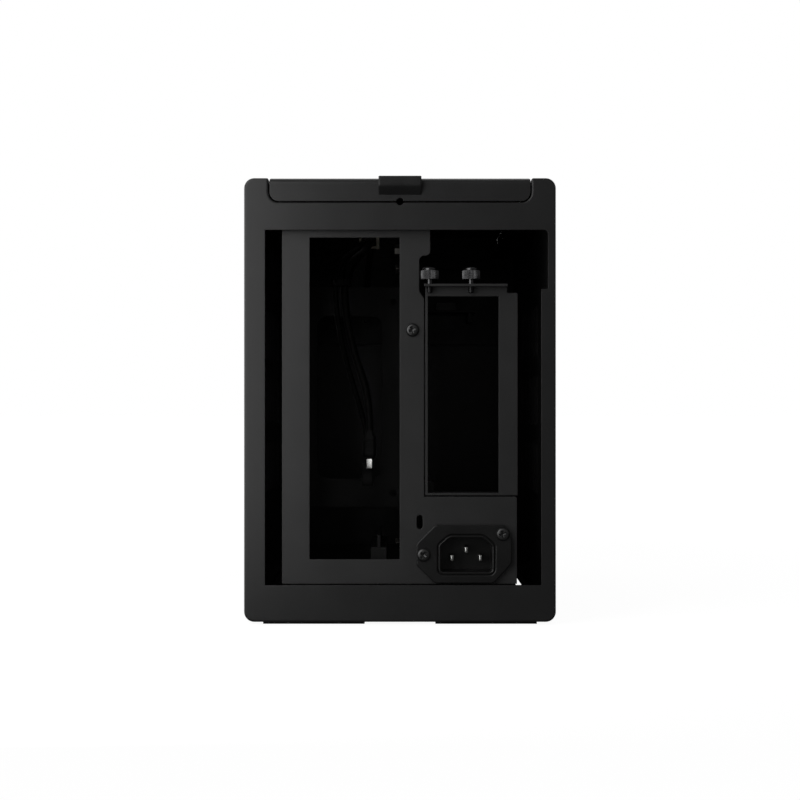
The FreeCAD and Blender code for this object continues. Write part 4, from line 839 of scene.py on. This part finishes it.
def rounded_polygon(corners, radius, middle, count):
    """Closed outline with quadratic corners, spaced by equal angles about its middle.

    The radius is one for all corners or one for each.
    """
    bend_count, fine_count = 12, 4000
    corners = np.asarray(corners, float)
    back = np.roll(corners, 1, axis=0) - corners
    ahead = np.roll(corners, -1, axis=0) - corners
    back = corners + radius * back / np.linalg.norm(back, axis=1, keepdims=True)
    ahead = corners + radius * ahead / np.linalg.norm(ahead, axis=1, keepdims=True)
    share = np.linspace(0.0, 1.0, bend_count)[None, :, None]
    bends = (
        (1 - share) ** 2 * back[:, None] + 2 * share * (1 - share) * corners[:, None]
        + share ** 2 * ahead[:, None])
    loop = bends.reshape(-1, 2)
    loop = np.concatenate([loop, loop[:1]])
    travel = np.concatenate([[0.0], np.cumsum(np.linalg.norm(np.diff(loop, axis=0), axis=1))])
    along = np.linspace(0.0, travel[-1], fine_count, endpoint=False)
    fine = np.stack([np.interp(along, travel, loop[:, axis]) for axis in (0, 1)], axis=1)
    x, y = (fine - np.asarray(middle)).T
    angle = np.linspace(0.0, 2 * np.pi, count, endpoint=False)
    reach = np.interp(angle, np.arctan2(y, x), np.hypot(x, y), period=2 * np.pi)
    return np.asarray(middle) + reach[:, None] * np.stack([np.cos(angle), np.sin(angle)], axis=1)


def grown(loop, distance):
    """An outline moved outwards along its normals."""
    run = np.roll(loop, -1, axis=0) - np.roll(loop, 1, axis=0)
    normal = np.stack([run[:, 1], -run[:, 0]], axis=1) / np.linalg.norm(run, axis=1, keepdims=True)
    return loop + distance * normal


def rearward_rows(rows):
    """Outlines in (x, z), each at its own y, as one grid."""
    return np.stack([np.insert(loop, 1, y, axis=1) for loop, y in rows]), False, True


class CASE_OT_inlet(bpy.types.Operator):
    """Make the mains inlet with its grooved rim, and its three contact blades."""
    bl_idname = "case.inlet"
    bl_label = "Mains inlet"

    def execute(self, context):
        settings = context.scene.case_inlet
        self.add_body(settings)
        self.add_blades(settings)
        return {"FINISHED"}

    def add_body(self, settings):
        """Flange, groove, rim and cavity as outlines that follow one another from back to front and in."""
        low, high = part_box("power_inlet")
        count = 480
        middle = np.array((low.x + settings.middle_side, low.z + settings.middle_rise))
        flange = self.flange_outline(settings, low, high, middle, count)
        rim = self.rim_outline(settings, middle, count)
        point = np.broadcast_to(middle, rim.shape)
        wall = settings.rim_wall
        front = low.y
        face = front + settings.rim_rise
        seat = face + settings.flange
        floor = front + settings.cavity
        back_edge, flange_edge, rim_edge = 0.5 * MM, 0.4 * MM, 0.2 * MM
        lip, lip_bend, lip_margin = 0.55 * MM, 0.16 * MM, 0.15 * MM
        groove, groove_depth = 0.55 * MM, 0.9 * MM
        mouth, mouth_bend = 0.6 * MM, 0.08 * MM
        rows = (
            (point, high.y), (grown(rim, -back_edge), high.y), (rim, high.y - back_edge), (rim, seat),
            (flange, seat), (flange, face + flange_edge),
            (grown(flange, -0.3 * flange_edge), face + 0.3 * flange_edge),
            (grown(flange, -flange_edge), face), (grown(flange, -1.25 * flange_edge), face),
            (grown(rim, lip + lip_margin), face), (grown(rim, lip), face),
            (grown(rim, lip_bend), face + lip_bend), (rim, face + lip),
            (rim, face + groove_depth), (grown(rim, -groove), face + groove_depth),
            (grown(rim, -groove), front + rim_edge),
            (grown(rim, -groove - 0.35 * rim_edge), front + 0.3 * rim_edge),
            (grown(rim, -groove - rim_edge), front), (grown(rim, mouth - wall), front),
            (grown(rim, mouth / 2 - wall), front + mouth_bend),
            (grown(rim, mouth_bend - wall), front + mouth / 2), (grown(rim, -wall), front + mouth),
            (grown(rim, -wall), floor), (point, floor))
        stand_for("power_inlet", "spine", [rearward_rows(rows)], sharp=50.0)

    def flange_outline(self, settings, low, high, middle, count):
        """Plate with three corners cut off evenly, and the upper right one more steeply."""
        cut_low, cut_high, cut_right = settings.corner_low, settings.corner_high, settings.corner_right
        right_extra, rounding = 1.0 * MM, 1.2 * MM
        return rounded_polygon([
            (low.x + cut_low, low.z), (high.x - cut_low, low.z),
            (high.x, low.z + cut_low + right_extra), (high.x, high.z - 2 * cut_right),
            (high.x - cut_right, high.z), (low.x + cut_high, high.z), (low.x, high.z - cut_high),
            (low.x, low.z + cut_low)], rounding, middle, count)

    def rim_outline(self, settings, middle, count):
        """Rectangle with its two upper corners cut off."""
        wide, tall = settings.rim_width / 2, settings.rim_height / 2
        run, drop = settings.chamfer_run, settings.chamfer_drop
        corners = np.array((
            (-wide, -tall), (wide, -tall), (wide, tall - drop), (wide - run, tall), (run - wide, tall),
            (-wide, tall - drop)))
        rounding = np.repeat((settings.corner, settings.chamfer_corner), (2, 4))[:, None]
        return rounded_polygon(middle + corners, rounding, middle, count)

    def add_blades(self, settings):
        """Flat bars whose tips widen as 0.75 sin t over the depth T (1 - cos t), t up to a right angle."""
        low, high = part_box("inlet_blades")
        half_x, half_z = settings.blade_width / 2, settings.blade_height / 2
        section = rounded_loop(half_x, half_z, power=7.0, count=48)
        lean = np.linspace(0.0, np.pi / 2, 14)
        shares = np.concatenate([0.75 * np.sin(lean), (1.0, 1.0, 0.0)])
        tip = settings.blade_tip * (1 - np.cos(lean))
        depths = np.concatenate([low.y + tip, (low.y + 4 * settings.blade_tip, high.y, high.y)])
        middles = (
            (low.x + half_x, low.z + half_z), ((low.x + high.x) / 2, high.z - half_z),
            (high.x - half_x, low.z + half_z))
        grids = [
            rearward_rows([(np.array(middle) + share * section, y) for share, y in zip(shares, depths)])
            for middle in middles]
        stand_for("inlet_blades", "spine", grids, sharp=60.0)


class CASE_OT_port_shade_rings(bpy.types.Operator):
    """Set a dark ring round each front port as painted shade that also closes the gap round its hole."""
    bl_idname = "case.port_collars"
    bl_label = "Port shade rings"

    def execute(self, context):
        for node in PORTS:
            self.add_shade_ring(node)
        return {"FINISHED"}

    def add_shade_ring(self, node):
        """Section of rounded rectangles carried round a port's own outline."""
        half_width, half_depth, clear, behind = 0.7 * MM, 0.9 * MM, 0.6 * MM, 3.0 * MM
        low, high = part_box(node)
        middle = np.array(((low.x + high.x) / 2, (low.z + high.z) / 2))
        inner = rounded_loop((high.x - low.x) / 2, (high.z - low.z) / 2, power=12.0, count=96)
        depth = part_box("front_frame")[0].y - behind
        section = rounded_loop(half_width, half_depth, power=4.0, count=24)
        rows, _, _ = rearward_rows([
            (grown(inner, clear + across) + middle, depth + along) for across, along in section])
        # The dark rubber ring is painted shade round the port's hole
        add_trim(node + "_shade_ring", (rows, True, True), "foot_rubber")


class CASE_OT_clip_latch(bpy.types.Operator):
    """Set the latch block on the lead clip."""
    bl_idname = "case.clip_latch"
    bl_label = "Clip latch"

    def execute(self, context):
        half_width, overhang, sunk = 0.9 * MM, 0.4 * MM, 0.2 * MM
        low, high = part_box("cable_clip")
        half_depth = (high.y - low.y) / 2 + overhang
        middle = np.array((high.x - half_width, (low.y + high.y) / 2))
        loop = rounded_loop(half_width, half_depth, power=5.0, count=40)
        heights = np.array((0.0, 0.0, 0.4, 6.6, 7.0, 7.0)) * MM + low.z - sunk
        shares = (0.0, 0.85, 1.0, 1.0, 0.85, 0.0)
        rows = [np.insert(middle + share * loop, 2, z, axis=1) for share, z in zip(shares, heights)]
        add_trim("cable_clip_latch", (np.stack(rows), False, True), "natural_nylon")
        return {"FINISHED"}


class CASE_OT_seam_shade_strips(bpy.types.Operator):
    """Set dark strips in the seams at the lid's hinge as painted shade that also closes the see-through
    there.
    """
    bl_idname = "case.seam_tape"
    bl_label = "Hinge seam shade strips"

    def execute(self, context):
        half_width, half_depth, inset, setback = 0.19 * MM, 1.0 * MM, 0.9 * MM, 1.2 * MM
        bottom, top = TOP_Z - 10.5 * MM, TOP_Z - 0.4 * MM
        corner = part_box("lid")[1]
        loop = rounded_loop(half_width, half_depth, power=6.0, count=32)
        edge = corner.x - inset
        for side, x in (("left", -edge), ("right", edge)):
            strip = prism(loop, bottom, top, (x, corner.y - setback))
            # The dark rubber strip is painted shade in the seam
            add_trim("seam_tape_" + side, strip, "foot_rubber")
        return {"FINISHED"}


OPERATORS = (
    CASE_OT_studio, CASE_OT_finishes, CASE_OT_plugs, CASE_OT_leads, CASE_OT_screws,
    CASE_OT_thumbscrews, CASE_OT_pull_tab, CASE_OT_inlet, CASE_OT_port_shade_rings, CASE_OT_clip_latch,
    CASE_OT_seam_shade_strips)
SETTINGS = {
    "case_studio": StudioSettings, "case_finish": FinishSettings, "case_screws": ScrewSettings,
    "case_inlet": InletSettings}


class CASE_PT_pieces(bpy.types.Panel):
    """Lists the case's sizes, colours and building steps."""
    bl_idname = "CASE_PT_pieces"
    bl_label = "Computer case"
    bl_space_type = "VIEW_3D"
    bl_region_type = "UI"
    bl_category = "Case"

    def draw(self, context):
        for operator in OPERATORS:
            self.layout.operator(operator.bl_idname)
        for group in SETTINGS:
            settings = getattr(context.scene, group)
            for name in settings.bl_rna.properties.keys():
                if name not in ("rna_type", "name"):
                    self.layout.prop(settings, name)


CLASSES = (*SETTINGS.values(), *OPERATORS, CASE_PT_pieces)


def register():
    """Adds the classes and their settings to Blender."""
    for cls in CLASSES:
        bpy.utils.register_class(cls)
    for name, cls in SETTINGS.items():
        setattr(bpy.types.Scene, name, bpy.props.PointerProperty(type=cls))


def unregister():
    """Takes the settings and classes out again."""
    for name in SETTINGS:
        delattr(bpy.types.Scene, name)
    for cls in reversed(CLASSES):
        bpy.utils.unregister_class(cls)


def main():
    """Builds the dressed case."""
    register()
    bpy.ops.case.studio()
    bpy.ops.case.finishes()
    bpy.ops.case.plugs()
    bpy.ops.case.leads()
    bpy.ops.case.screws()
    bpy.ops.case.thumbscrews()
    bpy.ops.case.pull_tab()
    bpy.ops.case.inlet()
    bpy.ops.case.port_collars()
    bpy.ops.case.clip_latch()
    bpy.ops.case.seam_tape()


if __name__ == "__main__":
    main()
